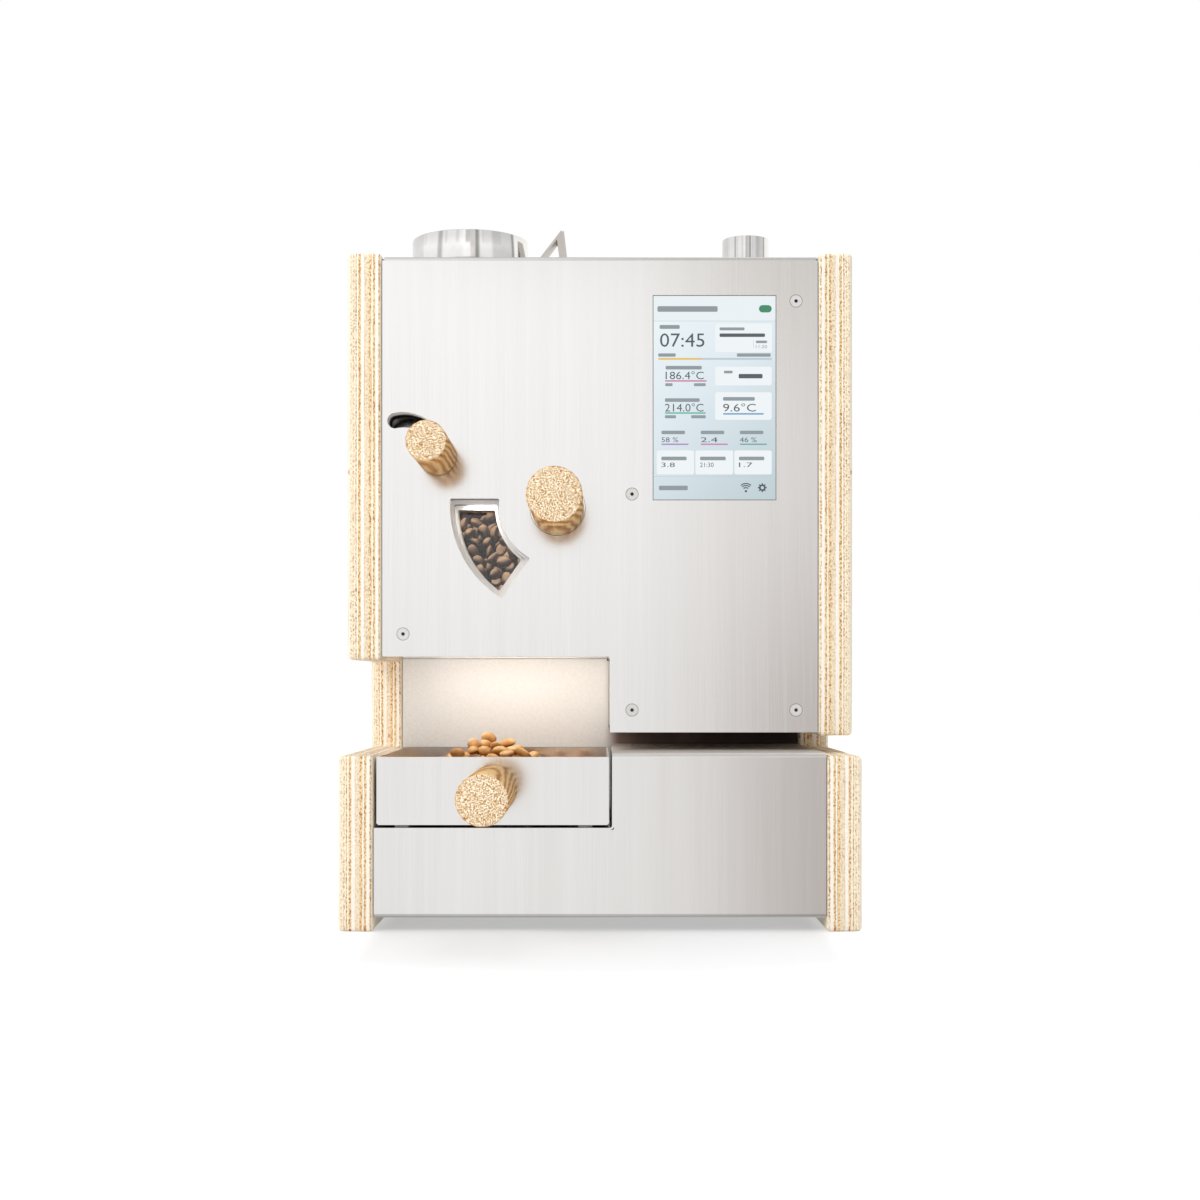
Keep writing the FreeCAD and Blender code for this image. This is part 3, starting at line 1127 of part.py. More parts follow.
def tray_knob_screw():
    """Screw through the tray's front into the oak knob."""
    stem = rod_y(TRAY_KNOB_X, TRAY_KNOB_Z, STEM_R, BASE_Y - TRAY_STEM_DEPTH, BASE_Y + SHEET)
    head = rod_y(TRAY_KNOB_X, TRAY_KNOB_Z, STEM_R + 2.5, BASE_Y + SHEET, BASE_Y + 3 * SHEET)
    return fuse([stem, head])


# ---------------------------------------------------------------- hopper, slide and inlet
def slide_frame():
    """Low frame on the cover's top: the slide runs in it and the hopper cup stands on it."""
    x0, x1 = HOPPER_X - HOPPER_R - 3, HOPPER_X + HOPPER_R - 1
    half = SLIDE_W / 2 + GAP
    y0, y1 = HOPPER_Y - half - SLIDE_RAIL, HOPPER_Y + half + SLIDE_RAIL
    z0, z1 = COVER_TOP, COVER_TOP + SLIDE_HIGH
    pieces = [block(x0, x1, y0, y1, z0, z0 + SLIDE_BED),
              block(x0, x0 + 6, y0, y1, z0, z1),
              block(x0, x1, y0, y0 + SLIDE_RAIL, z0, z1),
              block(x0, x1, y1 - SLIDE_RAIL, y1, z0, z1)]
    return fuse(pieces).cut(rod_z(HOPPER_X, HOPPER_Y, HOPPER_PORT_R, z0 - 1, z0 + SLIDE_BED + 1))


def hopper_cup():
    """Polished cup with a dished floor that leads to the slide."""
    z0 = COVER_TOP + SLIDE_HIGH + GAP
    cup = rod_z(HOPPER_X, HOPPER_Y, HOPPER_R, z0, HOPPER_TOP)
    inside = HOPPER_R - HOPPER_WALL
    floor = z0 + HOPPER_FLOOR
    lip = z0 + SHEET
    hollow = rod_z(HOPPER_X, HOPPER_Y, inside, floor, HOPPER_TOP + 1)
    dish = Part.makeCone(HOPPER_PORT_R, inside, floor - lip, vec(HOPPER_X, HOPPER_Y, lip), vec(0, 0, 1))
    port = rod_z(HOPPER_X, HOPPER_Y, HOPPER_PORT_R, z0 - 1, lip + 0.5)
    return cup.cut(hollow).cut(dish).cut(port)


def hopper_slide():
    """Gate under the hopper; its end is folded up and rests on a leg, which makes the grip."""
    z0 = COVER_TOP + SLIDE_BED + GAP
    half = SLIDE_THICK / 2
    x0 = HOPPER_X - HOPPER_R + 4
    neck = HOPPER_X + HOPPER_R + 2
    y0, y1 = HOPPER_Y - GRIP_W / 2, HOPPER_Y + GRIP_W / 2
    plate = block(x0, neck, HOPPER_Y - SLIDE_W / 2, HOPPER_Y + SLIDE_W / 2, z0, z0 + SLIDE_THICK)
    apex = HOPPER_X + GRIP_REACH
    path = [(neck - 4, z0 + half), (neck + 1, z0 + half), (apex - half, GRIP_TOP - half)]
    strip = folded_outline(path, SLIDE_THICK, SLIDE_THICK / 3, lambda x, z: vec(x, y0, z))
    foot = apex + GRIP_POST - half
    low = COVER_TOP + GAP
    leg = prism_y([(foot, low), (foot - GRIP_LEAN, GRIP_TOP - half / 2),
                   (foot - GRIP_LEAN - GRIP_POST, GRIP_TOP - GRIP_POST), (foot - GRIP_POST, low)], y0, y1)
    return fuse([plate, strip.extrude(vec(0, y1 - y0, 0)), leg])


def inlet_funnel():
    """Four-sided sheet funnel under the hopper's port, flanged against the cover's top."""
    top = COVER_TOP - SHEET - GAP
    mouth = HOPPER_PORT_R + 1.0

    def level(half_x, half_y, x, y, z):
        points = [vec(x - half_x, y - half_y, z), vec(x + half_x, y - half_y, z),
                  vec(x + half_x, y + half_y, z), vec(x - half_x, y + half_y, z)]
        return Part.makePolygon(points + points[:1])

    def hollow(grow):
        upper = level(mouth + grow, mouth + grow, HOPPER_X, HOPPER_Y, top)
        lower = level(INLET_HALF_X + grow, INLET_HALF_Y + grow, INLET_PORT_X, INLET_NECK_Y, INLET_NECK_Z)
        return Part.makeLoft([upper, lower], True, True)

    rim = mouth + FUNNEL_FLANGE
    flange = block(HOPPER_X - rim, HOPPER_X + rim, HOPPER_Y - rim, HOPPER_Y + rim, top - FUNNEL_SHEET, top)
    return fuse([hollow(FUNNEL_SHEET), flange]).cut(hollow(0))


def inlet_chute():
    """Rectangular chute under the funnel; its sloping floor throws the beans through the bulkhead."""
    wall = FUNNEL_SHEET
    y0, y1 = INLET_NECK_Y - INLET_HALF_Y - wall, BULKHEAD_Y - GAP
    back = INLET_NECK_Y + INLET_HALF_Y
    low, high = INLET_PORT_Z0 - 2.0, INLET_PORT_Z1 + 2.0
    knee = low + INLET_DROP
    x0, x1 = INLET_PORT_X - INLET_HALF_X - wall, INLET_PORT_X + INLET_HALF_X + wall
    shoe = prism_x([(y0, INLET_NECK_Z), (y0, knee), (y1, low), (y1, high), (back + wall, high),
                    (back + wall, INLET_NECK_Z)], x0, x1)
    core = prism_x([(y0 + wall, INLET_NECK_Z + 1), (y0 + wall, knee + 0.5 * wall), (y1 + 1, low + wall),
                    (y1 + 1, high - wall), (back, high - wall), (back, INLET_NECK_Z + 1)],
                   x0 + wall, x1 - wall)
    return shoe.cut(core)


# ---------------------------------------------------------------- air system
def exhaust_stack():
    """Polished spigot for a 40 mm hose."""
    bore = EXHAUST_R - EXHAUST_WALL
    tube = tube_z(EXHAUST_X, EXHAUST_Y, EXHAUST_R, bore, COVER_TOP, EXHAUST_TOP)
    flange = tube_z(EXHAUST_X, EXHAUST_Y, EXHAUST_R + EXHAUST_FLANGE, bore, COVER_TOP, COVER_TOP + 2)
    return fuse([tube, flange])


def exhaust_duct():
    """Duct from the chamber's outlet port up to the spigot."""
    y0, y1 = REAR_PLATE_BACK, EXHAUST_Y + EXHAUST_R
    x0, x1 = OUTLET_X0, EXHAUST_X + EXHAUST_R
    z0, z1 = OUTLET_Z0, OUTLET_Z1
    wall = DUCT_SHEET
    r = EXHAUST_R - 2.0
    body = block(x0, x1, y0, y1, z0, z1)
    riser = rod_z(EXHAUST_X, EXHAUST_Y, r, z1 - wall / 2, UNDER_TOP)
    core = block(x0 + wall, x1 - wall, y0 - 1, y1 - wall, z0 + wall, z1 - wall)
    bore = rod_z(EXHAUST_X, EXHAUST_Y, r - wall, z1 - 2 * wall, UNDER_TOP + 1)
    return fuse([body, riser]).cut(core).cut(bore)


def heater_box():
    """Insulated box on the rear plate in which the air is heated on its way to the drum."""
    x0, x1 = HEATER_X0, HEATER_X1
    y0, y1 = REAR_PLATE_BACK, DUCT_BACK
    z0, z1 = HEATER_Z1 - HEATER_HIGH, HEATER_Z1
    wall = DUCT_SHEET
    core = block(x0 + wall, x1 + 1, y0 - 1, y1 - wall, z0 + wall, z1 - wall)
    return block(x0, x1, y0, y1, z0, z1).cut(core)


def heater_coil():
    """Finned heating rod in the box."""
    y = REAR_PLATE_BACK + DUCT_DEPTH / 2
    z = HEATER_Z1 - HEATER_HIGH / 2
    x0, x1 = HEATER_X0 + DUCT_SHEET, HEATER_X1 - 10
    rod = rod_x(y, z, COIL_R, x0, x1)
    pitch = (x1 - x0) / (COIL_FINS + 1)
    fins = [rod_x(y, z, COIL_FIN_R, x0 + pitch * (k + 1), x0 + pitch * (k + 1) + DUCT_SHEET)
            for k in range(COIL_FINS)]
    return fuse([rod] + fins)


def blower_housing():
    """Centrifugal blower beside the heater box: round volute, straight outlet, open eye at the back."""
    y0, y1 = REAR_PLATE_BACK, DUCT_BACK
    wall = BLOWER_WALL
    x0 = HEATER_X1 + GAP
    z0, z1 = HEATER_Z1 - HEATER_HIGH, HEATER_Z1
    body = fuse([rod_y(BLOWER_X, BLOWER_Z, BLOWER_R, y0, y1), block(x0, BLOWER_X, y0, y1, z0, z1)])
    core = rod_y(BLOWER_X, BLOWER_Z, BLOWER_R - wall, y0 + wall, y1 - wall)
    core = core.fuse(block(x0 - 1, BLOWER_X, y0 + wall, y1 - wall, z0 + wall, z1 - wall))
    return body.cut(core).cut(rod_y(BLOWER_X, BLOWER_Z, BLOWER_EYE_R, y1 - 2 * wall, y1 + 1))


def blower_rotor():
    """Impeller with twelve leaning blades; its hub runs back into the blower's motor."""
    y0, y1 = REAR_PLATE_BACK + ROTOR_ROOM, DUCT_BACK - ROTOR_ROOM
    hub_y = y1 + ROTOR_SHAFT
    disc = rod_y(BLOWER_X, BLOWER_Z, ROTOR_R - 1, y0, y0 + BLOWER_WALL)
    hub = rod_y(BLOWER_X, BLOWER_Z, ROTOR_HUB_R, y0, hub_y)
    blades = []
    for k in range(12):
        blade = block(BLOWER_X + ROTOR_EYE_R, BLOWER_X + ROTOR_R - 1, y0, y1, BLOWER_Z - 0.6, BLOWER_Z + 0.6)
        blade.rotate(vec(BLOWER_X + (ROTOR_EYE_R + ROTOR_R) / 2, y0, BLOWER_Z), vec(0, 1, 0), 30)
        blade.rotate(vec(BLOWER_X, y0, BLOWER_Z), vec(0, 1, 0), 30 * k)
        blades.append(blade)
    return fuse([disc, hub] + blades).common(rod_y(BLOWER_X, BLOWER_Z, ROTOR_R, y0, hub_y))


def blower_motor():
    """Motor on three legs behind the blower's eye."""
    y0 = DUCT_BACK
    front = y0 + 6
    bore = rod_y(BLOWER_X, BLOWER_Z, ROTOR_HUB_R + FIT, y0 - 1, front + 6)
    pieces = [rod_y(BLOWER_X, BLOWER_Z, BLOWER_EYE_R - 3, front, front + 40)]
    leg = BLOWER_R - 8
    for k in range(3):
        angle = 90 + 120 * k
        x, z = polar(BLOWER_X, BLOWER_Z, leg, angle)
        pieces.append(rod_y(x, z, 3, y0, front + 4))
        arm = block(BLOWER_X + ROTOR_HUB_R + 3, BLOWER_X + leg + 1, front, front + 4,
                    BLOWER_Z - 3, BLOWER_Z + 3)
        arm.rotate(vec(BLOWER_X, y0, BLOWER_Z), vec(0, 1, 0), -angle)
        pieces.append(arm)
    return fuse(pieces).cut(bore)


def cooling_duct():
    """Sheet duct under the tray well, from its hole back to the cooling fan."""
    wall = DUCT_SHEET
    z0, z1 = FLOOR + GAP, OPENING_BOTTOM - SHEET
    top = FAN_Z + FAN_SIZE / 2
    half = FAN_SIZE / 2 + 6
    x0, x1 = FAN_X - half, FAN_X + half
    y0, y1 = TRAY_HOLE_Y - TRAY_HOLE_R - 13, REAR_Y - SHEET - FAN_DEPTH - 2 * GAP
    rise = WELL_BACK + SHEET + 2
    slope = top - z1
    body = prism_x([(y0, z0), (y1, z0), (y1, top), (rise + slope, top), (rise, z1), (y0, z1)], x0, x1)
    core = prism_x([(y0 + wall, z0 + wall), (y1 + 1, z0 + wall), (y1 + 1, top - wall),
                    (rise + slope + 0.5, top - wall), (rise + 0.5, z1 - wall), (y0 + wall, z1 - wall)],
                   x0 + wall, x1 - wall)
    return body.cut(core).cut(rod_z(TRAY_KNOB_X, TRAY_HOLE_Y, TRAY_HOLE_R, z1 - 2 * wall, z1 + 1))


def fan_frame():
    """Square frame of the cooling fan, with the motor held on three arms."""
    y1 = REAR_Y - SHEET - GAP
    y0 = y1 - FAN_DEPTH
    half = FAN_SIZE / 2
    frame = block(FAN_X - half, FAN_X + half, y0, y1, FAN_Z - half, FAN_Z + half)
    frame = round_edges(frame, vec(0, 1, 0), 4.0)
    frame = frame.cut(rod_y(FAN_X, FAN_Z, half - 1.5, y0 - 1, y1 + 1))
    core = rod_y(FAN_X, FAN_Z, FAN_HUB_R, y1 - FAN_PLATE, y1)
    arms = []
    for k in range(3):
        arm = block(FAN_X + FAN_HUB_R - 5, FAN_X + half - 1, y1 - FAN_PLATE + 1, y1,
                    FAN_Z - 2.5, FAN_Z + 2.5)
        arm.rotate(vec(FAN_X, y1, FAN_Z), vec(0, 1, 0), 120 * k)
        arms.append(arm)
    pin = rod_y(FAN_X, FAN_Z, FAN_PIN_R, y0 + 6, y1)
    return fuse([frame, core, pin] + arms)


def fan_rotor():
    """Hub and seven pitched blades of the cooling fan."""
    y1 = REAR_Y - SHEET - GAP - FAN_PLATE - GAP
    y0 = y1 - FAN_DEPTH + 9
    tip = FAN_SIZE / 2 - 2.5
    middle = (y0 + y1) / 2 - 0.6
    blades = []
    for k in range(7):
        blade = block(FAN_X + FAN_HUB_R - 3, FAN_X + tip + 2, middle - 0.9, middle + 0.9,
                      FAN_Z - 11, FAN_Z + 11)
        blade.rotate(vec(FAN_X, middle, FAN_Z), vec(1, 0, 0), 32)
        blade.rotate(vec(FAN_X, y0, FAN_Z), vec(0, 1, 0), 360 * k / 7)
        blades.append(blade)
    hub = rod_y(FAN_X, FAN_Z, FAN_HUB_R, y0, y1)
    rotor = fuse([hub] + blades).common(rod_y(FAN_X, FAN_Z, tip, y0, y1))
    return rotor.cut(rod_y(FAN_X, FAN_Z, FAN_PIN_R + FIT, y0 + 2, y1 + 1))


# ---------------------------------------------------------------- rear connections
def power_inlet():
    """Three-pin appliance inlet in the rear cover."""
    y = REAR_Y
    x0, x1, z0, z1 = INLET_X - INLET_HALF, INLET_X + INLET_HALF, REAR_Z - INLET_HIGH, REAR_Z + INLET_HIGH
    rim, lining = ENTRY_RIM * 1.5, 2.5
    flange = block(x0 - rim, x1 + rim, y, y + 2, z0 - ENTRY_RIM, z1 + ENTRY_RIM)
    flange = round_edges(flange, vec(0, 1, 0), 3)
    body = block(x0 + GAP, x1 - GAP, y - INLET_DEPTH, y + 1, z0 + GAP, z1 - GAP)
    well = block(x0 + lining, x1 - lining, y - INLET_DEPTH + 7, y + 3, z0 + lining, z1 - lining)
    pins = []
    for dx, dz in ((-6, 2), (0, -2), (6, 2)):
        pins.append(block(INLET_X + dx - 1, INLET_X + dx + 1, y - INLET_DEPTH + 6, y - 1,
                          REAR_Z + dz - 2, REAR_Z + dz + 2))
    return fuse([fuse([flange, body]).cut(well)] + pins)


def switch_frame():
    y = REAR_Y
    x0, x1 = SWITCH_X - SWITCH_HALF, SWITCH_X + SWITCH_HALF
    z0, z1 = REAR_Z - SWITCH_HIGH, REAR_Z + SWITCH_HIGH
    rim, lining = ENTRY_RIM * 0.6, 1.3
    flange = block(x0 - rim, x1 + rim, y, y + 1.5, z0 - rim, z1 + rim)
    body = block(x0 + GAP, x1 - GAP, y - SWITCH_DEPTH, y + 1, z0 + GAP, z1 - GAP)
    well = block(x0 + lining, x1 - lining, y - SWITCH_DEPTH + 2, y + 3, z0 + lining, z1 - lining)
    pin = rod_x(y - ROCKER_PIN, REAR_Z, ROCKER_PIN_R, x0 + GAP, x1 - GAP)
    return fuse([fuse([flange, body]).cut(well), pin])


def switch_rocker():
    """Rocker on its cross pin, tilted to its off side."""
    y = REAR_Y
    half = SWITCH_HALF - 1.3 - GAP
    outline = [(y - 8, REAR_Z - 4), (y - 1.5, REAR_Z - 6.8), (y + 2.2, REAR_Z - 6.8), (y + 1.2, REAR_Z),
               (y + 2.2, REAR_Z + 6.8), (y - 1.5, REAR_Z + 6.8), (y - 8, REAR_Z + 4)]
    rocker = prism_x(outline, SWITCH_X - half, SWITCH_X + half)
    rocker = rocker.cut(rod_x(y - ROCKER_PIN, REAR_Z, ROCKER_PIN_R + FIT, SWITCH_X - 9, SWITCH_X + 9))
    rocker.rotate(vec(SWITCH_X, y - ROCKER_PIN, REAR_Z), vec(1, 0, 0), -SWITCH_TILT)
    return rocker


# ---------------------------------------------------------------- assembly
def build():
    """Every node by name, in the order in which the roaster goes together."""
    return {
        "left_side_panel": side_panel(-1, NOTCH_LEFT),
        "right_side_panel": side_panel(1, NOTCH_RIGHT),
        "base_cover": base_cover(),
        "rear_rails": rear_rails(),
        "rear_cover": rear_cover(),
        "rear_screws": rear_screws(),
        "recess_back": recess_back(),
        "belly_pan": belly_pan(),
        "recess_lamp": recess_lamp(),
        "bulkhead": bulkhead(),
        "rear_plate": fuse([rear_plate(), heater_box()]),
        "chamber_shell": chamber_shell(),
        "insulation": insulation(),
        "drum": drum(),
        "drum_shaft": drum_shaft(),
        "shaft_bearings": Part.makeCompound([bearing(REAR_PLATE_BACK), bearing(BRACKET_Y + PLATE)]),
        "drum_gear": drum_gear(),
        "drive_bracket": drive_bracket(),
        "drum_motor": drum_motor(),
        "motor_pinion": motor_pinion(),
        "window_bezel": window_bezel(),
        "sight_glass": sight_glass(),
        "lever_bush": lever_bush(),
        "lever_shaft": lever_shaft(),
        "lever_knob": lever_knob(),
        "slot_guide": slot_guide(),
        "discharge_gate": gate(),
        "gate_guides": gate_guides(),
        "discharge_chute": discharge_chute(),
        "trier_bushing": trier_bushing(),
        "trier_tube": trier_tube(),
        "trier_knob": trier_knob(),
        "bean_probe": bean_probe(),
        "cover_pillars": cover_pillars(),
        "front_cover": front_cover(),
        "cover_screws": cover_screws(),
        "display_glass": display_glass(),
        "display_module": display_module(),
        "control_board": control_board(),
        "power_supply": power_supply(),
        "tray_well": fuse([tray_well(), cooling_duct()]),
        "tray_glides": tray_glides(),
        "tray": tray(),
        "tray_screen": tray_screen(),
        "tray_knob": tray_knob(),
        "tray_knob_screw": tray_knob_screw(),
        "slide_frame": slide_frame(),
        "hopper_cup": hopper_cup(),
        "hopper_slide": hopper_slide(),
        "inlet_funnel": inlet_funnel(),
        "inlet_chute": inlet_chute(),
        "exhaust_stack": exhaust_stack(),
        "exhaust_duct": exhaust_duct(),
        "heater_coil": heater_coil(),
        "blower": fuse([blower_housing(), blower_motor()]),
        "blower_rotor": blower_rotor(),
        "cooling_fan": fan_frame(),
        "fan_rotor": fan_rotor(),
        "power_entry": fuse([power_inlet(), switch_frame()]),
        "switch_rocker": switch_rocker(),
    }


os.makedirs("parts", exist_ok=True)
triangles = 0
for name, shape in build().items():
    shape.translate(vec(0, -Y_MIDDLE, 0))
    shape.exportStep(f"parts/{name}.step")
    triangles += len(shape.tessellate(0.25)[1])
    state = "" if shape.isValid() else "  NOT VALID"
    print(f"{name:20s} {len(shape.Solids):2d} solids {shape.Volume / 1000:9.2f} cm3{state}")
print("triangles, about:", triangles)
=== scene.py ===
# %% [markdown]
# # A countertop coffee roaster
# Two birch plywood panels hold a folded stainless body. A drum turns behind the sector-shaped window, beans
# go in at the hopper on top, samples come out with the trier, and the finished roast drops into the tray.
# The engineering parts arrive as a finished frame. Each one gets a real surface here, and the turned and the
# loose forms, such as knobs and beans, are built as meshes and ride on the frame's bodies.

import math
import random

import bmesh
import bpy
from mathutils import Euler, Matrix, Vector


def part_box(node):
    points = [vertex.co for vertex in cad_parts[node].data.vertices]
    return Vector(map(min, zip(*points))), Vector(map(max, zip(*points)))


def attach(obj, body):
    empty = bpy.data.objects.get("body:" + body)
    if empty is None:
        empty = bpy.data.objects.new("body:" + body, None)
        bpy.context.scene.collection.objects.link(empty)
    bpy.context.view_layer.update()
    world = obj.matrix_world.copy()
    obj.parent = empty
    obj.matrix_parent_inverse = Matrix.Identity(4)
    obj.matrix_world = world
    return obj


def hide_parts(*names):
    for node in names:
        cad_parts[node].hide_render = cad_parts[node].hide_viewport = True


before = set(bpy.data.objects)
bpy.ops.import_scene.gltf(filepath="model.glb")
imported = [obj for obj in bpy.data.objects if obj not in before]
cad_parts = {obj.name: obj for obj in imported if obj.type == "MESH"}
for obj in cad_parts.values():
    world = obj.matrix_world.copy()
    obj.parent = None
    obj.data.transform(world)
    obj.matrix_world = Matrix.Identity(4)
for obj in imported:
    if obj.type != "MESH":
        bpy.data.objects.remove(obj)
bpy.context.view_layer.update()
MM = 0.001


def put_in_scene(name, data):
    thing = bpy.data.objects.new(name, data)
    bpy.context.scene.collection.objects.link(thing)
    return thing


# %% [markdown]
# ## The camera
# A product shot of a box-like machine is taken level, so that uprights stay upright, and the lens is shifted
# up to frame it rather than tilted. A slightly long lens from a good metre away keeps the perspective gentle,
# so that the base spreads only a little wider than the body above it.

# %% Place the camera
SENSOR = 36.0            # mm
LENS = 51.0              # mm
STAND_OFF = 1.214        # metres in front of the side panels
EYE_HEIGHT = 0.180       # metres over the table
PICTURE_PIXELS = 1200    # the picture is square
RISE_PIXELS = 80
panel_low, panel_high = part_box("left_side_panel")

camera_data = bpy.data.cameras.new("studio_camera")
camera_data.sensor_width = SENSOR
camera_data.lens = LENS
camera_data.shift_y = RISE_PIXELS / PICTURE_PIXELS
camera = put_in_scene("studio_camera", camera_data)
camera.location = (0, panel_low.y - STAND_OFF, EYE_HEIGHT)
camera.rotation_euler = (math.pi / 2, 0, 0)
bpy.context.scene.camera = camera
bpy.context.scene.view_settings.view_transform = "Standard"
print("camera", [round(v, 3) for v in camera.location])

# %% [markdown]
# ## Shader arithmetic
# A material is a graph of nodes. Writing it as sums and products reads far better than placing nodes by hand,
# so a `Wire` is one output of the graph, and each operator on it adds the Math node that does the same.
# The reflected operators let a plain number stand on the left, as in `1 - mask`.

# %% Wire: a value in the graph
class Wire:
    def __init__(self, finish, socket):
        self.finish = finish
        self.socket = socket

    def math(self, operation, *values):
        return self.finish.node("Math", {"operation": operation}, values)

    def __add__(self, other):
        return self.math("ADD", self, other)

    def __radd__(self, other):
        return self.math("ADD", other, self)

    def __sub__(self, other):
        return self.math("SUBTRACT", self, other)

    def __rsub__(self, other):
        return self.math("SUBTRACT", other, self)

    def __mul__(self, other):
        return self.math("MULTIPLY", self, other)

    def __rmul__(self, other):
        return self.math("MULTIPLY", other, self)

    def __truediv__(self, other):
        return self.math("DIVIDE", self, other)

    def __abs__(self):
        return self.math("ABSOLUTE", self)

    def floor(self):
        return self.math("FLOOR", self)

    def root(self):
        return self.math("SQRT", self)

    def sine(self):
        return self.math("SINE", self)

    def steps(self, low, high):
        """0 below low, 1 above high, and a smooth rise between them."""
        sockets = {"Value": self, "From Min": low, "From Max": high}
        return self.finish.node("MapRange", {"interpolation_type": "SMOOTHSTEP"}, sockets)


print("shader arithmetic ready")

# %% [markdown]
# `Finish` holds one material while it is built. One method, `node`, adds any node: its settings go in first,
# because some of them decide which sockets there are, and then the values or wires of the sockets.

# %% Finish: a material under construction
def tint(red, green, blue):
    """A colour as a screen shows it, turned into the linear light that shaders count in."""
    def linear(level):
        share = level / 255
        return share / 12.92 if share <= 0.04045 else ((share + 0.055) / 1.055) ** 2.4
    return linear(red), linear(green), linear(blue), 1.0


class Finish:
    def __init__(self, name):
        self.material = bpy.data.materials.new(name)
        self.material.use_nodes = True
        self.tree = self.material.node_tree
        self.tree.nodes.clear()

    def node(self, kind, settings=None, sockets=(), out=0):
        made = self.tree.nodes.new("ShaderNode" + kind)
        for key, value in (settings or {}).items():
            if key == "stops":
                for _ in value[2:]:
                    made.color_ramp.elements.new(0.5)
                for element, (place, colour) in zip(made.color_ramp.elements, value):
                    element.position = place
                    element.color = colour
            elif key == "blend":
                made.color_ramp.interpolation = value
            else:
                setattr(made, key, value)
        pairs = sockets.items() if isinstance(sockets, dict) else enumerate(sockets)
        for key, value in pairs:
            if isinstance(value, Wire):
                self.tree.links.new(value.socket, made.inputs[key])
            else:
                made.inputs[key].default_value = value
        return Wire(self, made.outputs[out])

    def place(self):
        """Where a point is on its own body, in metres, so that the pattern moves with the body."""
        return self.node("TexCoord", out="Object")

    def facing(self):
        """The way the surface faces, on its own body."""
        return self.node("TexCoord", out="Normal")

    def axes(self, vector):
        return [self.node("SeparateXYZ", None, [vector], i) for i in range(3)]

    def stretched(self, vector, x, y, z):
        return self.node("VectorMath", {"operation": "MULTIPLY"}, {0: vector, 1: (x, y, z)})

    def blotches(self, where, detail, rough=0.5):
        sockets = {"Vector": where, "Scale": 1.0, "Detail": detail, "Roughness": rough}
        return self.node("TexNoise", None, sockets)

    def noise(self, x, y, z, detail=2.0, rough=0.5):
        """Cloudy values around 0.5, with this many blotches to a metre along each axis."""
        return self.blotches(self.stretched(self.place(), x, y, z), detail, rough)

    def even(self, scale, detail=2.0, rough=0.5):
        """The same along all three axes."""
        return self.noise(scale, scale, scale, detail, rough)

    def mixed(self, share, first, second, how="MIX"):
        settings = {"data_type": "RGBA", "blend_type": how}
        return self.node("Mix", settings, {0: share, 6: first, 7: second}, 2)

    def ramp(self, value, *stops, blend="LINEAR"):
        return self.node("ValToRGB", {"stops": stops, "blend": blend}, [value])

    def toned(self, value, dark, light, low=0.3, high=0.7):
        """Dark below low, light above high, and an even change between them."""
        return self.ramp(value, (low, dark), (high, light))

    def bump(self, height, distance, strength=1.0):
        return self.node("Bump", None, {"Height": height, "Distance": distance, "Strength": strength})

    def surface(self, **sockets):
        """Ends the material in one Principled shader; the names are its sockets with _ for a space."""
        named = {key.replace("_", " "): value for key, value in sockets.items()}
        shader = self.node("BsdfPrincipled", None, named)
        self.node_out(shader)
        return self.material

    def node_out(self, shader):
        end = self.tree.nodes.new("ShaderNodeOutputMaterial")
        self.tree.links.new(shader.socket, end.inputs["Surface"])


print("middle grey in linear light", round(tint(128, 128, 128)[0], 3))

# %% [markdown]
# ## Birch plywood
# A panel is a stack of veneers, glued with their grain crossed. On the cut edge a veneer that runs along the
# edge shows smooth and nearly white, and one that runs into it shows golden, speckled end grain. Sanding and
# pressing leave them uneven, so each veneer is written down with where it begins, its wood and how speckled
# it is. The pattern is worked out in depth under the outer face, so it wraps round the corners by itself.

# %% Plywood
OUTER_FACE = -panel_low.x
PLY_THICK = panel_high.x - panel_low.x
ROSY, CREAM, WHITE = tint(248, 234, 215), tint(249, 240, 220), tint(252, 246, 234)
STRAW, GOLD, SAND = tint(248, 234, 204), tint(242, 220, 174), tint(244, 229, 202)
VENEERS = (
    (0.000, ROSY, 0.05), (0.055, CREAM, 0.15), (0.080, STRAW, 0.55), (0.120, CREAM, 0.20),
    (0.150, STRAW, 0.60), (0.205, WHITE, 0.10), (0.230, GOLD, 0.85), (0.270, WHITE, 0.04),
    (0.310, GOLD, 1.00), (0.385, WHITE, 0.10), (0.490, SAND, 0.35), (0.620, GOLD, 0.90),
    (0.695, WHITE, 0.05), (0.735, GOLD, 1.00), (0.805, WHITE, 0.06), (0.895, STRAW, 0.95),
    (0.945, CREAM, 0.15),
)
GLUE_LINES = (0.345, 0.490, 0.700, 0.770, 0.920)
KNOT_LAYERS = 15


def grey(level):
    return level, level, level, 1.0


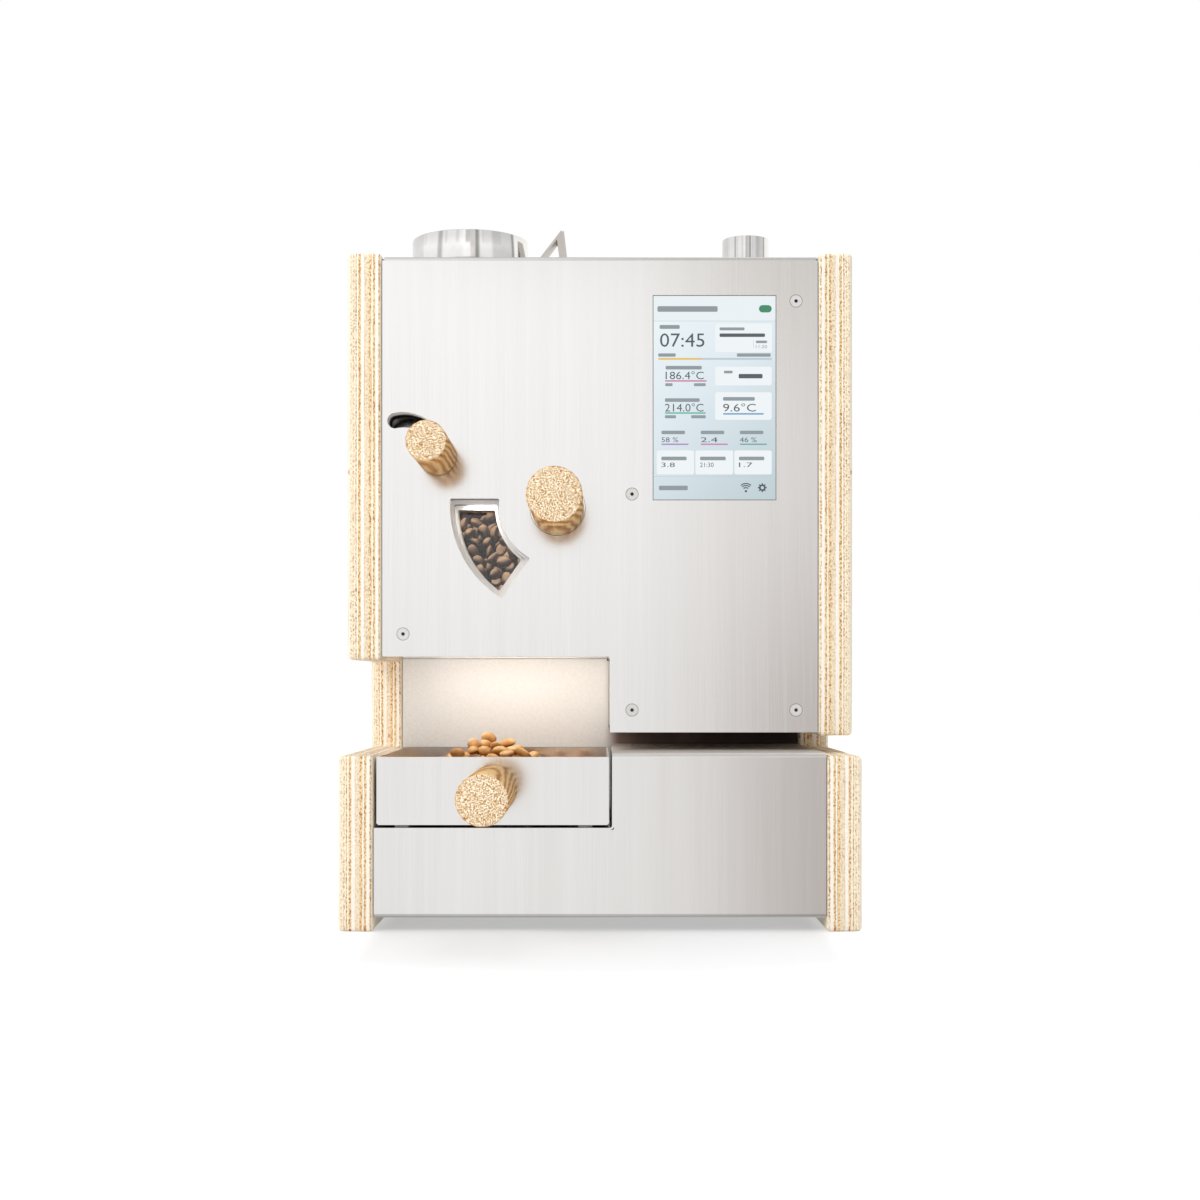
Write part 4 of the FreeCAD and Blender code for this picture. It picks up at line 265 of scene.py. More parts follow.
def plywood_finish():
    f = Finish("birch_plywood")
    x, y, z = f.axes(f.place())
    wander = (f.noise(34, 7, 9, 3.0) - 0.5) * 0.045 + (f.noise(500, 260, 300) - 0.5) * 0.016
    depth = (OUTER_FACE - abs(x)) / PLY_THICK + wander
    wood = f.ramp(depth, *[(start, colour) for start, colour, _ in VENEERS], blend="CONSTANT")
    speckled = f.ramp(depth, *[(start, grey(share)) for start, _, share in VENEERS], blend="CONSTANT")

    skewed = f.node("CombineXYZ", None, [x * 980 + y * 310, y * 130 + z * 170, z * 640])
    grain = f.blotches(skewed, 2.5, 0.7)
    patch = f.noise(120, 14, 20)
    fibre = f.noise(1100, 90, 24, 3.0, 0.65)
    dots = grain.steps(0.49, 0.57) * (0.50 + patch * 1.2)
    wood = f.mixed(dots * speckled, wood, tint(188, 128, 56))
    pits = grain.steps(0.57, 0.64) * patch.steps(0.48, 0.58) * speckled
    wood = f.mixed(pits * 0.9, wood, tint(142, 82, 30))
    wood = f.mixed(fibre.steps(0.56, 0.70) * 0.30, wood, tint(222, 190, 146))

    # glue lines: thin and brown in places, where a veneer's edge was scorched by the saw
    glue = sum(abs(depth - line).steps(0.010, 0.003) for line in GLUE_LINES)
    scorched = f.noise(60, 11, 17).steps(0.46, 0.66)
    wood = f.mixed(glue * scorched * 0.8, wood, tint(184, 116, 48))

    # knots: each layer of the stack has its own, golden with a dark heart
    layer = (depth * KNOT_LAYERS).floor()
    spot = f.node("CombineXYZ", None, [layer * 5.3, y * 24, z * 46])
    knot = f.blotches(spot, 1.0)
    wood = f.mixed(knot.steps(0.735, 0.760) * 0.8, wood, tint(206, 128, 62))
    wood = f.mixed(knot.steps(0.775, 0.790), wood, tint(96, 44, 16))

    rough = 0.50 + grain * 0.18 + fibre * 0.08
    height = grain * speckled * 0.7 + fibre * 0.3
    return f.surface(Base_Color=wood, Roughness=rough, Normal=f.bump(height, 0.00016, 0.6),
                     Specular_IOR_Level=0.3)


plywood = plywood_finish()
print(len(VENEERS), "veneers in", round(PLY_THICK / MM, 1), "mm")

# %% [markdown]
# ## Oiled oak
# The handles are turned with the grain along their length. Oak has open pores: cut across they are small tan
# dots on a pale face, and along the side they stretch into fine dark dashes. One solid pattern, short
# across the grain and long along it, gives both, and growth rings add the arched figure on the sides.

# %% Oak, with the grain along Y
PITH_X, PITH_Z = -0.03, 0.55     # metres; the middle of the growth rings, outside every knob


def oak_finish():
    f = Finish("oiled_oak")
    x, y, z = f.axes(f.place())
    end_grain = abs(f.axes(f.facing())[1]).steps(0.75, 0.97)
    skewed = f.node("CombineXYZ", None, [x * 1420 + y * 190, y * 46 + x * 90 + z * 70, z * 1330 - y * 120])
    pores = f.blotches(skewed, 1.6, 0.6)
    fibre = f.noise(640, 16, 640, 3.0, 0.6)
    bend = f.noise(34, 11, 34)
    across, up = x - PITH_X, z - PITH_Z
    reach = (across * across + up * up).root()
    rings = (reach * 1500 + bend * 17 + y * 60).sine() * 0.5 + 0.5
    side = f.ramp(rings * 0.46 + fibre * 0.54,
                  (0.24, tint(166, 110, 56)), (0.42, tint(204, 152, 90)),
                  (0.60, tint(226, 182, 120)), (0.80, tint(240, 208, 156)))
    side = f.mixed(pores.steps(0.60, 0.72) * 0.45, side, tint(132, 80, 38))
    face = f.ramp(pores, (0.41, tint(164, 106, 44)), (0.47, tint(212, 162, 92)),
                  (0.50, tint(242, 214, 162)), (0.54, tint(255, 248, 228)))
    face = f.mixed(rings * 0.16, face, tint(222, 178, 112))
    wood = f.mixed(end_grain, side, face)
    height = pores * 0.7 + fibre * 0.3
    return f.surface(Base_Color=wood, Roughness=0.50 + pores * 0.2,
                     Normal=f.bump(height, 0.00012, 0.5), Specular_IOR_Level=0.3)


oak = oak_finish()
print("oak ready")

# %% [markdown]
# ## Stainless steel
# The folded covers are brushed: a belt leaves fine scratches that all run one way, up the face and on over
# the bends. Streaks that change quickly across X and slowly along Y and Z follow the fold by themselves.
# The streaks vary the roughness and lean the surface a little, which is what smears a reflection. The same
# recipe with other tints and scales gives the drum and the grip; the cup and the spigot are polished.

# %% Brushed and polished steel
def brushed_finish(name, light, dark, rough, x_streaks=2600, y_streaks=9, z_streaks=9):
    f = Finish(name)
    fine = f.noise(x_streaks, y_streaks, z_streaks, 3.0, 0.7)
    wide = f.noise(x_streaks / 24, y_streaks / 6, z_streaks / 6)
    streak = fine * 0.75 + wide * 0.25
    colour = f.toned(streak, dark, light)
    return f.surface(Base_Color=colour, Metallic=1.0, Roughness=rough + (fine - 0.5) * 0.12,
                     Normal=f.bump(fine, 0.00002, 0.3))


def polished_finish():
    f = Finish("polished_stainless")
    haze = f.even(60, 3.0, 0.6)
    rub = f.noise(40, 40, 2400, 2.0, 0.6)
    colour = f.toned(haze, tint(243, 241, 239), tint(251, 250, 249), 0.35, 0.65)
    return f.surface(Base_Color=colour, Metallic=1.0, Roughness=0.05 + haze * 0.05 + rub * 0.04)


def base_top_finish():
    """Brushed like the covers on the upright faces; on top a duller satin, painted a greyer tone as painted
    shade under the body above.
    """
    f = Finish("base_stainless")
    up = f.axes(f.facing())[2].steps(0.55, 0.95)
    lines = f.noise(60, 60, 2.2, 3.0, 0.6) * 0.6 + f.noise(2400, 300, 8) * 0.4
    colour = f.toned(lines, COVER_DARK, COVER_LIGHT, 0.32, 0.68)
    # painted shade: the upward faces are coloured greyer
    colour = f.mixed(up, colour, tint(206, 198, 190))
    return f.surface(Base_Color=colour, Metallic=1 - up * 0.9, Roughness=0.15 + up * 0.25 + lines * 0.04)


COVER_LIGHT, COVER_DARK = tint(246, 245, 244), tint(236, 234, 232)
brushed = brushed_finish("brushed_stainless", COVER_LIGHT, COVER_DARK, 0.150)
drum_metal = brushed_finish("heat_tinted_steel", tint(150, 142, 132), tint(104, 96, 88), 0.42, 400, 60, 60)
grip_steel = brushed_finish("tumbled_stainless", tint(222, 217, 212), tint(206, 200, 194), 0.30)
polished = polished_finish()
base_steel = base_top_finish()
print("five steels ready")

# %% [markdown]
# ## Castings, plastics, paint, wool and boards
# The hidden parts are seen when the machine is turned round or a drawer is open. Each is its real stuff:
# sand-textured aluminium, grained plastic, satin paint, felted wool, and a green board with copper tracks.

# %% Plain finishes with grain
def grained_finish(name, dark, light, rough, metal=0.0, grain=900, depth=0.00008, clump=40):
    f = Finish(name)
    fine = f.even(grain, 2.0, 0.6)
    cloud = f.even(clump, 3.0, 0.6)
    colour = f.toned(fine * 0.4 + cloud * 0.6, dark, light, 0.34, 0.66)
    return f.surface(Base_Color=colour, Metallic=metal, Roughness=rough + (fine - 0.5) * 0.2,
                     Normal=f.bump(fine, depth, 0.6))


def board_finish():
    f = Finish("circuit_board")
    weave = f.even(1600, 1.0)
    tracks = f.node("TexBrick", {"offset": 0.5, "squash": 1.0},
                    {"Vector": f.stretched(f.place(), 160, 160, 160), "Scale": 1.0, "Mortar Size": 0.09,
                     "Color1": tint(28, 92, 58), "Color2": tint(22, 80, 50), "Mortar": tint(96, 142, 86)})
    return f.surface(Base_Color=tracks, Roughness=0.36 + weave * 0.15, Coat_Weight=0.3)


satin_black = grained_finish("black_painted_steel", tint(34, 34, 34), tint(44, 43, 42), 0.42)
bezel_paint = grained_finish("bezel_satin_white", tint(228, 226, 224), tint(240, 238, 236), 0.34,
                             grain=700, depth=0.00003)
brass = grained_finish("turned_brass", tint(186, 148, 76), tint(214, 178, 104), 0.24, 1.0, 1200, 0.00002)
aluminium = grained_finish("cast_aluminium", tint(168, 168, 170), tint(196, 196, 198), 0.42, 1.0, 700)
wool = grained_finish("ceramic_wool", tint(214, 208, 198), tint(240, 236, 228), 0.95, 0.0, 420, 0.0006, 90)
black_plastic = grained_finish("grained_black_plastic", tint(24, 24, 25), tint(38, 38, 39), 0.46)
white_plastic = grained_finish("white_glide_plastic", tint(218, 217, 212), tint(236, 235, 231), 0.4)
circuit = board_finish()
print("hidden finishes ready")

# %% [markdown]
# ## Glass, display and lamp
# Clear glass lets lamp light through to what is behind it. A path tracer finds that light slowly, so shadow
# rays see plain transparency and every other ray sees real glass. The display's glass is opaque round its
# edge, so it is a dark gloss sheet, and what the screen shows is laid on it further down. The lamp's cover is
# frosted and glows by itself.

# %% Glass and lit finishes
def glass_finish():
    f = Finish("clear_sight_glass")
    smear = f.noise(30, 30, 9, 3.0, 0.6)
    glass = f.node("BsdfPrincipled", None, {"Base Color": tint(246, 249, 251), "Roughness": smear * 0.03,
                                            "Transmission Weight": 1.0, "IOR": 1.46})
    clear = f.node("BsdfTransparent", None, [tint(243, 247, 249)])
    shadow = f.node("LightPath", out="Is Shadow Ray")
    f.node_out(f.node("MixShader", None, [shadow, glass, clear]))
    return f.material


def screen_glass_finish():
    f = Finish("display_cover_glass")
    smudge = f.even(50, 3.0, 0.6)
    return f.surface(Base_Color=f.toned(smudge, tint(26, 30, 34), tint(36, 40, 44)),
                     Roughness=0.06 + smudge * 0.08, Coat_Weight=0.5)


def lamp_finish():
    f = Finish("frosted_lamp_cover")
    frost = f.even(500)
    glow = f.toned(frost, tint(255, 243, 222), tint(255, 250, 238))
    return f.surface(Base_Color=tint(244, 240, 230), Roughness=0.5, Emission_Color=glow,
                     Emission_Strength=1.2)


sight_glass = glass_finish()
screen_glass = screen_glass_finish()
lamp_cover = lamp_finish()
print("glass and lamp ready")

# %% [markdown]
# ## Finishes of single parts
# A few parts get painted shade that changes from one spot to the next: black inside a screw's socket, black
# deep in the lever's slot, grey on the sides and dark under the window's steps, dark on the wall behind the
# slit. Each of these finishes mixes plain tones by depth, by place or by the way the surface faces, so the
# change stays on the part.

# %% Screws, slot, window and back wall
def screw_finish():
    """Pale blasted heads; inside the socket the steel is painted black, as painted shade in the hole."""
    f = Finish("screw_steel")
    y = f.axes(f.place())[1]
    # painted shade: the socket is coloured black from a few tenths of a millimetre in
    shade_inside = (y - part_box("cover_screws")[0].y).steps(0.05 * MM, 0.30 * MM)
    fine = f.even(900, 2.0, 0.6)
    pale = f.toned(fine, tint(238, 236, 234), tint(248, 247, 245))
    return f.surface(Base_Color=f.mixed(shade_inside, pale, tint(58, 54, 52)), Metallic=0.7 - shade_inside * 0.6,
                     Roughness=0.42 + fine * 0.1)


def guide_finish():
    """White lips in front, painted black from a few millimetres in, as painted shade deep in the slot."""
    f = Finish("slot_guide_paint")
    y = f.axes(f.place())[1]
    # painted shade: coloured black from 6.5 to 11 mm behind the guide's front
    shade_inside = (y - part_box("slot_guide")[0].y).steps(6.5 * MM, 11.0 * MM)
    fine = f.even(600, 2.0, 0.6)
    pale = f.toned(fine, tint(244, 242, 240), tint(252, 250, 248))
    return f.surface(Base_Color=f.mixed(shade_inside, pale, tint(16, 14, 13)), Roughness=0.55 + fine * 0.1,
                     Specular_IOR_Level=0.1)


def bezel_finish():
    """White paint on the window's stepped tunnel, with painted grey shade on the sides and painted dark shade
    under the steps.
    """
    f = Finish("window_paint")
    fine = f.even(700, 2.0, 0.6)
    over = f.axes(f.facing())
    under = (over[2] * -1).steps(0.25, 0.80)
    side = abs(over[0]).steps(0.35, 0.80)
    pale = f.toned(fine, tint(240, 238, 235), tint(250, 248, 245))
    # painted shade: greyer where the tunnel faces sideways, dark where it faces down
    pale = f.mixed(side * 0.25, pale, tint(184, 176, 168))
    pale = f.mixed(under * 0.85, pale, tint(66, 60, 56))
    return f.surface(Base_Color=pale, Roughness=0.4 + fine * 0.1)


def back_wall_finish():
    """Blasted steel where the tray is; behind the slit over the base it is painted dark brown to black, as
    painted shade in the slit.
    """
    f = Finish("recess_steel")
    x = f.axes(f.place())[0]
    fine = f.even(420, 3.0, 0.6)
    cloud = f.even(22)
    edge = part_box("tray")[1].x
    bright = f.toned(fine, tint(240, 237, 234), tint(248, 246, 243))
    # painted shade: dark brown to black, darker the further right behind the slit
    slit_shade = f.ramp(cloud * 0.3 + fine * 0.1 + (x - edge) * 3.0, (0.22, tint(134, 112, 102)),
                     (0.44, tint(92, 70, 62)), (0.66, tint(48, 36, 32)))
    share = (x - edge).steps(-4 * MM, 10 * MM)
    return f.surface(Base_Color=f.mixed(share, bright, slit_shade), Metallic=1 - share * 0.6,
                     Roughness=0.52 + fine * 0.1)


screw_steel = screw_finish()
guide_paint = guide_finish()
window_paint = bezel_finish()
back_steel = back_wall_finish()
print("four finishes of single parts")

# %% [markdown]
# ## Which part is made of what
# The frame's record names a material slot for each part. The finishes go into those slots by name, so a part
# that is added later gets its finish without a new line here. The six with a finish of their own are listed
# by the part's name, and they keep their slot.

# %% Dress the frame's parts
FINISHES = {
    "plywood": plywood, "oak": oak, "brushed_steel": brushed, "polished_steel": polished,
    "drum_steel": drum_metal, "dark_steel": satin_black, "bezel_white": bezel_paint, "glass": sight_glass,
    "display": screen_glass, "lamp": lamp_cover, "brass": brass, "aluminium": aluminium,
    "ceramic_wool": wool, "black_plastic": black_plastic, "white_plastic": white_plastic,
    "circuit_green": circuit,
}
OWN_FINISH = {
    "recess_back": back_steel, "cover_screws": screw_steel, "slot_guide": guide_paint,
    "base_cover": base_steel, "window_bezel": window_paint, "hopper_slide": grip_steel,
}
for name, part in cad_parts.items():
    slot_name = part.data.materials[0].name.split(".")[0]
    part.data.materials[0] = OWN_FINISH.get(name, FINISHES[slot_name])
print("dressed", len(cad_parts), "parts in", len(FINISHES), "finishes")

# %% [markdown]
# ## The studio
# Stainless steel shows the room more than itself. The room here is a white sweep of floor and a white world,
# and what the steel sees of that world is a ring of tall panels at set angles: white on the left of the
# camera, a duller gap just right of it, greyer ones further round. The flat covers get their slow fall from
# white to grey out of that gap. Higher up hang narrow dark strips, which the polished cup and spigot show as
# upright bands.

# %% Panels round the object
PANEL_GLOW = 1.225
FILL_GLOW, FILL_TINT = 0.62, (0.97, 0.98, 1.0, 1)


def shade(level, warmth=0.0):
    return level * (1 + warmth * 0.4), level, level * (1 - warmth), 1.0


# by degrees round the object, 0 being in front of it and positive to the right
PANELS = (
    (-180, shade(0.70)), (-105, shade(0.70)), (-101, shade(0.86)), (-66, shade(0.86)),
    (-62, shade(0.50)), (-56, shade(0.50)), (-52, shade(0.90)), (-12, shade(0.92)),
    (-9, shade(1.0)), (12, shade(0.98)), (14, shade(0.28, 0.06)), (19, shade(0.30, 0.06)),
    (23, shade(0.84)), (45, shade(0.84)), (50, shade(0.62)), (92, shade(0.62)),
    (95, shade(0.26)), (98, shade(0.26)), (102, shade(0.88, 0.03)), (180, shade(0.88, 0.03)),
)
# by height, from -1 straight below to 1 straight above
PANEL_HEIGHT = (
    (-1.0, shade(0.42)), (-0.40, shade(0.50)), (-0.22, shade(0.66)), (-0.13, shade(0.765, 0.012)),
    (-0.03, shade(0.75)), (0.02, shade(0.785)), (0.07, shade(0.825)), (0.12, shade(0.84)),
    (0.176, shade(0.87)), (0.235, shade(0.94)), (0.28, shade(0.94)), (0.36, shade(0.82)),
    (0.60, shade(0.74)), (1.0, shade(0.70)),
)
# the gap: where it shows, by degrees, and what it leaves of the light, by height
GAP = ((2.8, 0.0), (5.7, 1.0), (12.0, 1.0), (15.0, 0.0))
GAP_HEIGHT = (
    (-1.0, (0.80, 0.76, 0.74, 1)), (-0.16, (0.54, 0.485, 0.458, 1)), (-0.03, (0.53, 0.475, 0.45, 1)),
    (0.02, (0.66, 0.615, 0.597, 1)), (0.07, (0.745, 0.72, 0.71, 1)), (0.13, (0.79, 0.765, 0.75, 1)),
    (0.18, (0.745, 0.72, 0.705, 1)), (0.24, (0.57, 0.55, 0.52, 1)), (0.34, (0.66, 0.64, 0.63, 1)),
)
# what the narrow strips high up leave of the light, by degrees
BANDS = (
    (-180, 0.95), (-100, 0.95), (-98, 0.70), (-95, 0.95), (-49, 0.97), (-46, 0.72), (-43, 0.97),
    (-27, 0.97), (-24, 0.78), (-19, 0.82), (-17, 1.0), (-7, 1.0), (-5, 0.52), (2, 0.60), (4, 1.0),
    (26, 1.0), (28, 0.74), (31, 0.86), (66, 0.86), (69, 1.0), (180, 1.0),
)
# by height: where the strips begin and where they end
BANDS_BEGIN, BANDS_END = (0.255, 0.268), (0.5, 0.6)
GAP_LEAN = 0.012         # of a turn, from level to straight above
print(len(PANELS), "edges of panels and", len(BANDS), "of bands")

# %% [markdown]
# The world's graph is built with the same words as a finish. A direction gives two shares, one for how far
# round it points and one for how high, and a ramp on each turns them into panels. Only mirrored rays see the
# ring; rough surfaces get an even fill instead, and the camera sees plain white.

# %% The world
class World(Finish):
    def __init__(self, name):
        self.world = bpy.data.worlds.new(name)
        self.world.use_nodes = True
        self.tree = self.world.node_tree
        self.tree.nodes.clear()

    def node_out(self, shader):
        end = self.tree.nodes.new("ShaderNodeOutputWorld")
        self.tree.links.new(shader.socket, end.inputs["Surface"])


def by_degrees(stops):
    return [(degrees / 360 + 0.5, colour) for degrees, colour in stops]


def by_height(stops):
    return [(height * 0.5 + 0.5, colour) for height, colour in stops]


def in_grey(stops):
    return [(start, grey(level)) for start, level in stops]


def studio_world():
    w = World("studio_white")
    x, y, z = w.axes(w.node("TexCoord", out="Generated"))
    round_share = x.math("ARCTAN2", x, y * -1) / (2 * math.pi) + 0.5
    height_share = z * 0.5 + 0.5
    panels = w.ramp(round_share, *by_degrees(PANELS))
    height = w.ramp(height_share, *by_height(PANEL_HEIGHT))
    panels = w.mixed(1.0, panels, height, "MULTIPLY")
    in_gap = w.ramp(round_share + z * GAP_LEAN, *by_degrees(in_grey(GAP)))
    gap = w.ramp(height_share, *by_height(GAP_HEIGHT))
    cloth = w.mixed(in_gap, panels, w.mixed(1.0, panels, gap, "MULTIPLY"))
    bands = w.ramp(round_share, *by_degrees(in_grey(BANDS)))
    banded = z.steps(*BANDS_BEGIN) * (1 - z.steps(*BANDS_END))
    cloth = w.mixed(banded, cloth, w.mixed(1.0, cloth, bands, "MULTIPLY"))
    ring = w.node("Background", None, [cloth, PANEL_GLOW])
    fill = w.node("Background", None, [FILL_TINT, FILL_GLOW])
    white = w.node("Background", None, [(1, 1, 1, 1), 1.0])
    lit = w.node("MixShader", None, [w.node("LightPath", out="Is Glossy Ray"), fill, ring])
    seen = w.node("LightPath", out="Is Camera Ray")
    direct = seen.math("MAXIMUM", seen, w.node("LightPath", out="Is Transmission Ray"))
    w.node_out(w.node("MixShader", None, [direct, lit, white]))
    bpy.context.scene.world = w.world


studio_world()
print("world", bpy.context.scene.world.name)

# %% [markdown]
# ## Floor and soft boxes
# The floor is pale paint. For the camera alone it is a greyer paint with a glow that grows with the distance,
# so that it merges with the white behind it while the object's own soft shadow stays. The steel doesn't
# mirror the floor but the ring of panels, which goes on below the horizon. Two big soft boxes, one at the
# left in front and one overhead, give the shadows their direction.

# %% Floor, soft boxes
FLOOR_HALF = 12.0        # metres
FLOOR_GLOW = 0.33        # under the object
GLOW_FROM, GLOW_TO = 0.30, 0.95      # metres from the middle, between which it grows to 1
BESIDE_FROM, BESIDE_TO = 0.150, 0.200    # metres to either side, likewise
AIM = (0, 0, 0.25)


def flat_sheet(name, corners, material):
    mesh = bpy.data.meshes.new(name)
    mesh.from_pydata(corners, [], [tuple(range(len(corners)))])
    mesh.materials.append(material)
    sheet = put_in_scene(name, mesh)
    return sheet


def floor_finish():
    f = Finish("studio_floor_white")
    rough = 0.7 + f.even(9) * 0.1
    white = {"Base Color": tint(250, 250, 250), "Roughness": rough, "Specular IOR Level": 0.1}
    paint = f.node("BsdfPrincipled", None, white)
    x, y, _ = f.axes(f.place())
    away = (x * x + y * y).root()
    beside = abs(x).steps(BESIDE_FROM, BESIDE_TO)
    light = f.toned(away, grey(FLOOR_GLOW), grey(1.0), GLOW_FROM, GLOW_TO)
    light = f.mixed(beside, light, grey(1.0))
    glow = f.node("Emission", None, [light, 1.0])
    greyer = {"Base Color": tint(204, 204, 204), "Roughness": rough, "Specular IOR Level": 0.0}
    glowing = f.node("AddShader", None, [f.node("BsdfPrincipled", None, greyer), glow])
    seen = f.node("LightPath", out="Is Camera Ray")
    f.node_out(f.node("MixShader", None, [seen, paint, glowing]))
    return f.material


def soft_box(name, place, aim, width, height, watts):
    data = bpy.data.lights.new(name, "AREA")
    data.shape = "RECTANGLE"
    data.size = width
    data.size_y = height
    data.energy = watts
    light = put_in_scene(name, data)
    light.location = place
    light.rotation_euler = (Vector(aim) - Vector(place)).to_track_quat("-Z", "Y").to_euler()
    return light


corners = [(x * FLOOR_HALF, y * FLOOR_HALF, 0) for x, y in ((-1, -1), (1, -1), (1, 1), (-1, 1))]
floor = flat_sheet("studio_floor", corners, floor_finish())
floor.visible_glossy = False
key_box = soft_box("key_box", (-1.3, -1.7, 1.5), AIM, 1.3, 1.3, 26)
top_box = soft_box("top_box", (0.1, 0.3, 2.2), AIM, 1.6, 1.6, 22)
key_box.visible_glossy = False
top_box.visible_glossy = False
print("floor", 2 * FLOOR_HALF, "m wide, soft boxes of", key_box.data.energy, "and", top_box.data.energy, "W")

# %% [markdown]
# A warm lamp in the recess's ceiling lights the tray. The light that stands for it hangs as high but further
# forward, from where it washes down the back wall. A faint one at the top of the window's tunnel stands for
# light from the room, without which the beans behind the pane would be lost. Neither is seen itself.

# %% The machine's own lamps
WARM = (1.0, 0.96, 0.895)
STRIP_FORWARD = 104 * MM
STRIP_DROP = 4 * MM
STRIP_AIM_DROP = 84 * MM
WINDOW_LAMP = (26 * MM, 12 * MM, -9 * MM)    # from the tunnel's left, front and upper faces
WINDOW_AIM = (36 * MM, 14 * MM, 45 * MM)     # from its left, back and lower faces


def strip_lamp(name, place, aim, width, height, watts):
    lamp = soft_box(name, place, aim, width, height, watts)
    lamp.data.color = WARM
    lamp.visible_camera = False
    lamp.visible_transmission = False
    return lamp


def shifted(place, by):
    return tuple(a + b for a, b in zip(place, by))


lamp_low, lamp_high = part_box("recess_lamp")
lamp_x = ((lamp_low + lamp_high) / 2).x
wall_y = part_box("recess_back")[0].y
strip_place = (lamp_x, wall_y - STRIP_FORWARD, lamp_low.z - STRIP_DROP)
strip_aim = (lamp_x, wall_y, lamp_low.z - STRIP_AIM_DROP)
strip_lamp("recess_strip", strip_place, strip_aim, 150 * MM, 40 * MM, 0.090)
tunnel_low, tunnel_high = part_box("window_bezel")
window_place = shifted((tunnel_low.x, tunnel_low.y, tunnel_high.z), WINDOW_LAMP)
window_aim = shifted((tunnel_low.x, tunnel_high.y, tunnel_low.z), WINDOW_AIM)
window_strip = strip_lamp("window_strip", window_place, window_aim, 20 * MM, 6 * MM, 0.007)
window_strip.visible_glossy = False
print("lamps at", [round(v, 3) for v in strip_place], "and", [round(v, 3) for v in window_place])

# %% [markdown]
# ## Turned pieces
# Knobs, the hopper and the flue spigot all come off a lathe: one outline, swept round one axis. The outline
# is a short list of corners, and each corner that a turner would break with a file gets a small arc. Long
# smooth runs then shade evenly, and the arc catches the thin bright line that real edges have.

# %% Lathe
ARC_STEPS = 3
ARC_SHARE = 0.45         # of an edge, at most, goes into the arc at its end
ON_AXIS = 1e-7           # metres
SMOOTH_BELOW = 35        # degrees; a bend that is sharper than this stays an edge


def eased(corners, radius):
    """A closed outline of (reach, along) corners with a small arc at each corner off the axis."""
    outline = []
    for k, corner in enumerate(corners):
        before = Vector(corners[k - 1])
        here = Vector(corner)
        behind = Vector(corners[(k + 1) % len(corners)])
        if corner[0] == 0:
            outline.append(here)
            continue
        to_before, to_behind = before - here, behind - here
        cut = min(radius, to_before.length * ARC_SHARE, to_behind.length * ARC_SHARE)
        first = here + to_before.normalized() * cut
        last = here + to_behind.normalized() * cut
        for step in range(ARC_STEPS + 1):
            t = step / ARC_STEPS
            outline.append(first * (1 - t) ** 2 + here * 2 * t * (1 - t) + last * t * t)
    return outline


def mesh_piece(name, points, faces, finish, smooth_below=SMOOTH_BELOW):
    mesh = bpy.data.meshes.new(name)
    mesh.from_pydata([tuple(p) for p in points], [], faces)
    mesh.materials.append(finish)
    mesh.shade_smooth()
    mesh.set_sharp_from_angle(angle=math.radians(smooth_below))
    return put_in_scene(name, mesh)


def turn_outward(piece, weld=0.0):
    """Turns every face outward, after joining the points that lie closer together than weld."""
    mesh = bmesh.new()
    mesh.from_mesh(piece.data)
    if weld:
        bmesh.ops.remove_doubles(mesh, verts=mesh.verts, dist=weld)
    bmesh.ops.recalc_face_normals(mesh, faces=mesh.faces)
    mesh.to_mesh(piece.data)
    mesh.free()


def turned(name, corners, ease, centre, axis, finish, steps=96):
    """Sweeps the outline round an axis through centre; along is measured on the axis."""
    outline = eased(corners, ease)
    spin = [(math.cos(2 * math.pi * k / steps), math.sin(2 * math.pi * k / steps)) for k in range(steps)]
    points, rings = [], []
    for reach, along in outline:
        around = spin if reach > ON_AXIS else spin[:1]
        rings.append(range(len(points), len(points) + len(around)))
        for c, s in around:
            if axis == "y":
                points.append((centre[0] + reach * c, along, centre[2] + reach * s))
            else:
                points.append((centre[0] + reach * c, centre[1] + reach * s, along))
    faces = []
    for here, there in zip(rings, rings[1:] + rings[:1]):
        if len(here) == 1 and len(there) == 1:
            continue
        for k in range(steps):
            n = (k + 1) % steps
            if len(here) == 1:
                faces.append((here[0], there[n], there[k]))
            elif len(there) == 1:
                faces.append((here[k], here[n], there[0]))
            else:
                faces.append((here[k], here[n], there[n], there[k]))
    piece = mesh_piece(name, points, faces, finish)
    turn_outward(piece)
    piece.data.set_sharp_from_angle(angle=math.radians(SMOOTH_BELOW))
    return piece


print("lathe ready")

# %% [markdown]
# The three handles are plain oak dowels with eased rims, which is what gives them their warmth next to the
# steel. Each takes its place and size from the part that it stands for, so it follows any change there.

# %% Oak knobs
KNOBS = {"lever_knob": "gate_lever", "trier_knob": "trier", "tray_knob": "tray"}
KNOB_EASE = 1.3 * MM


def oak_knob(node, body):
    low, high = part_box(node)
    reach = (high.x - low.x) / 2
    corners = [(0, low.y), (reach, low.y), (reach, high.y), (0, high.y)]
    knob = turned(node + "_oak", corners, KNOB_EASE, (low + high) / 2, "y", oak)
    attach(knob, body)
    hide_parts(node)


for node, body in KNOBS.items():
    oak_knob(node, body)
print(len(KNOBS), "knobs")

# %% [markdown]
# The hopper is a spun cup with a dished floor round its port, and the spigot a rolled tube on a flange. Both
# are polished, so their walls stay thin and true and their rims get a small round.

# %% Hopper cup and flue spigot
WALL = 1.2 * MM
RIM_EASE = 0.5 * MM


def hopper_outline(low, high, reach):
    port, dish, lip = 26 * MM, 8 * MM, 1.5 * MM
    return [(port, low.z), (reach, low.z), (reach, high.z), (reach - WALL, high.z),
            (reach - WALL, low.z + dish), (port, low.z + lip)]


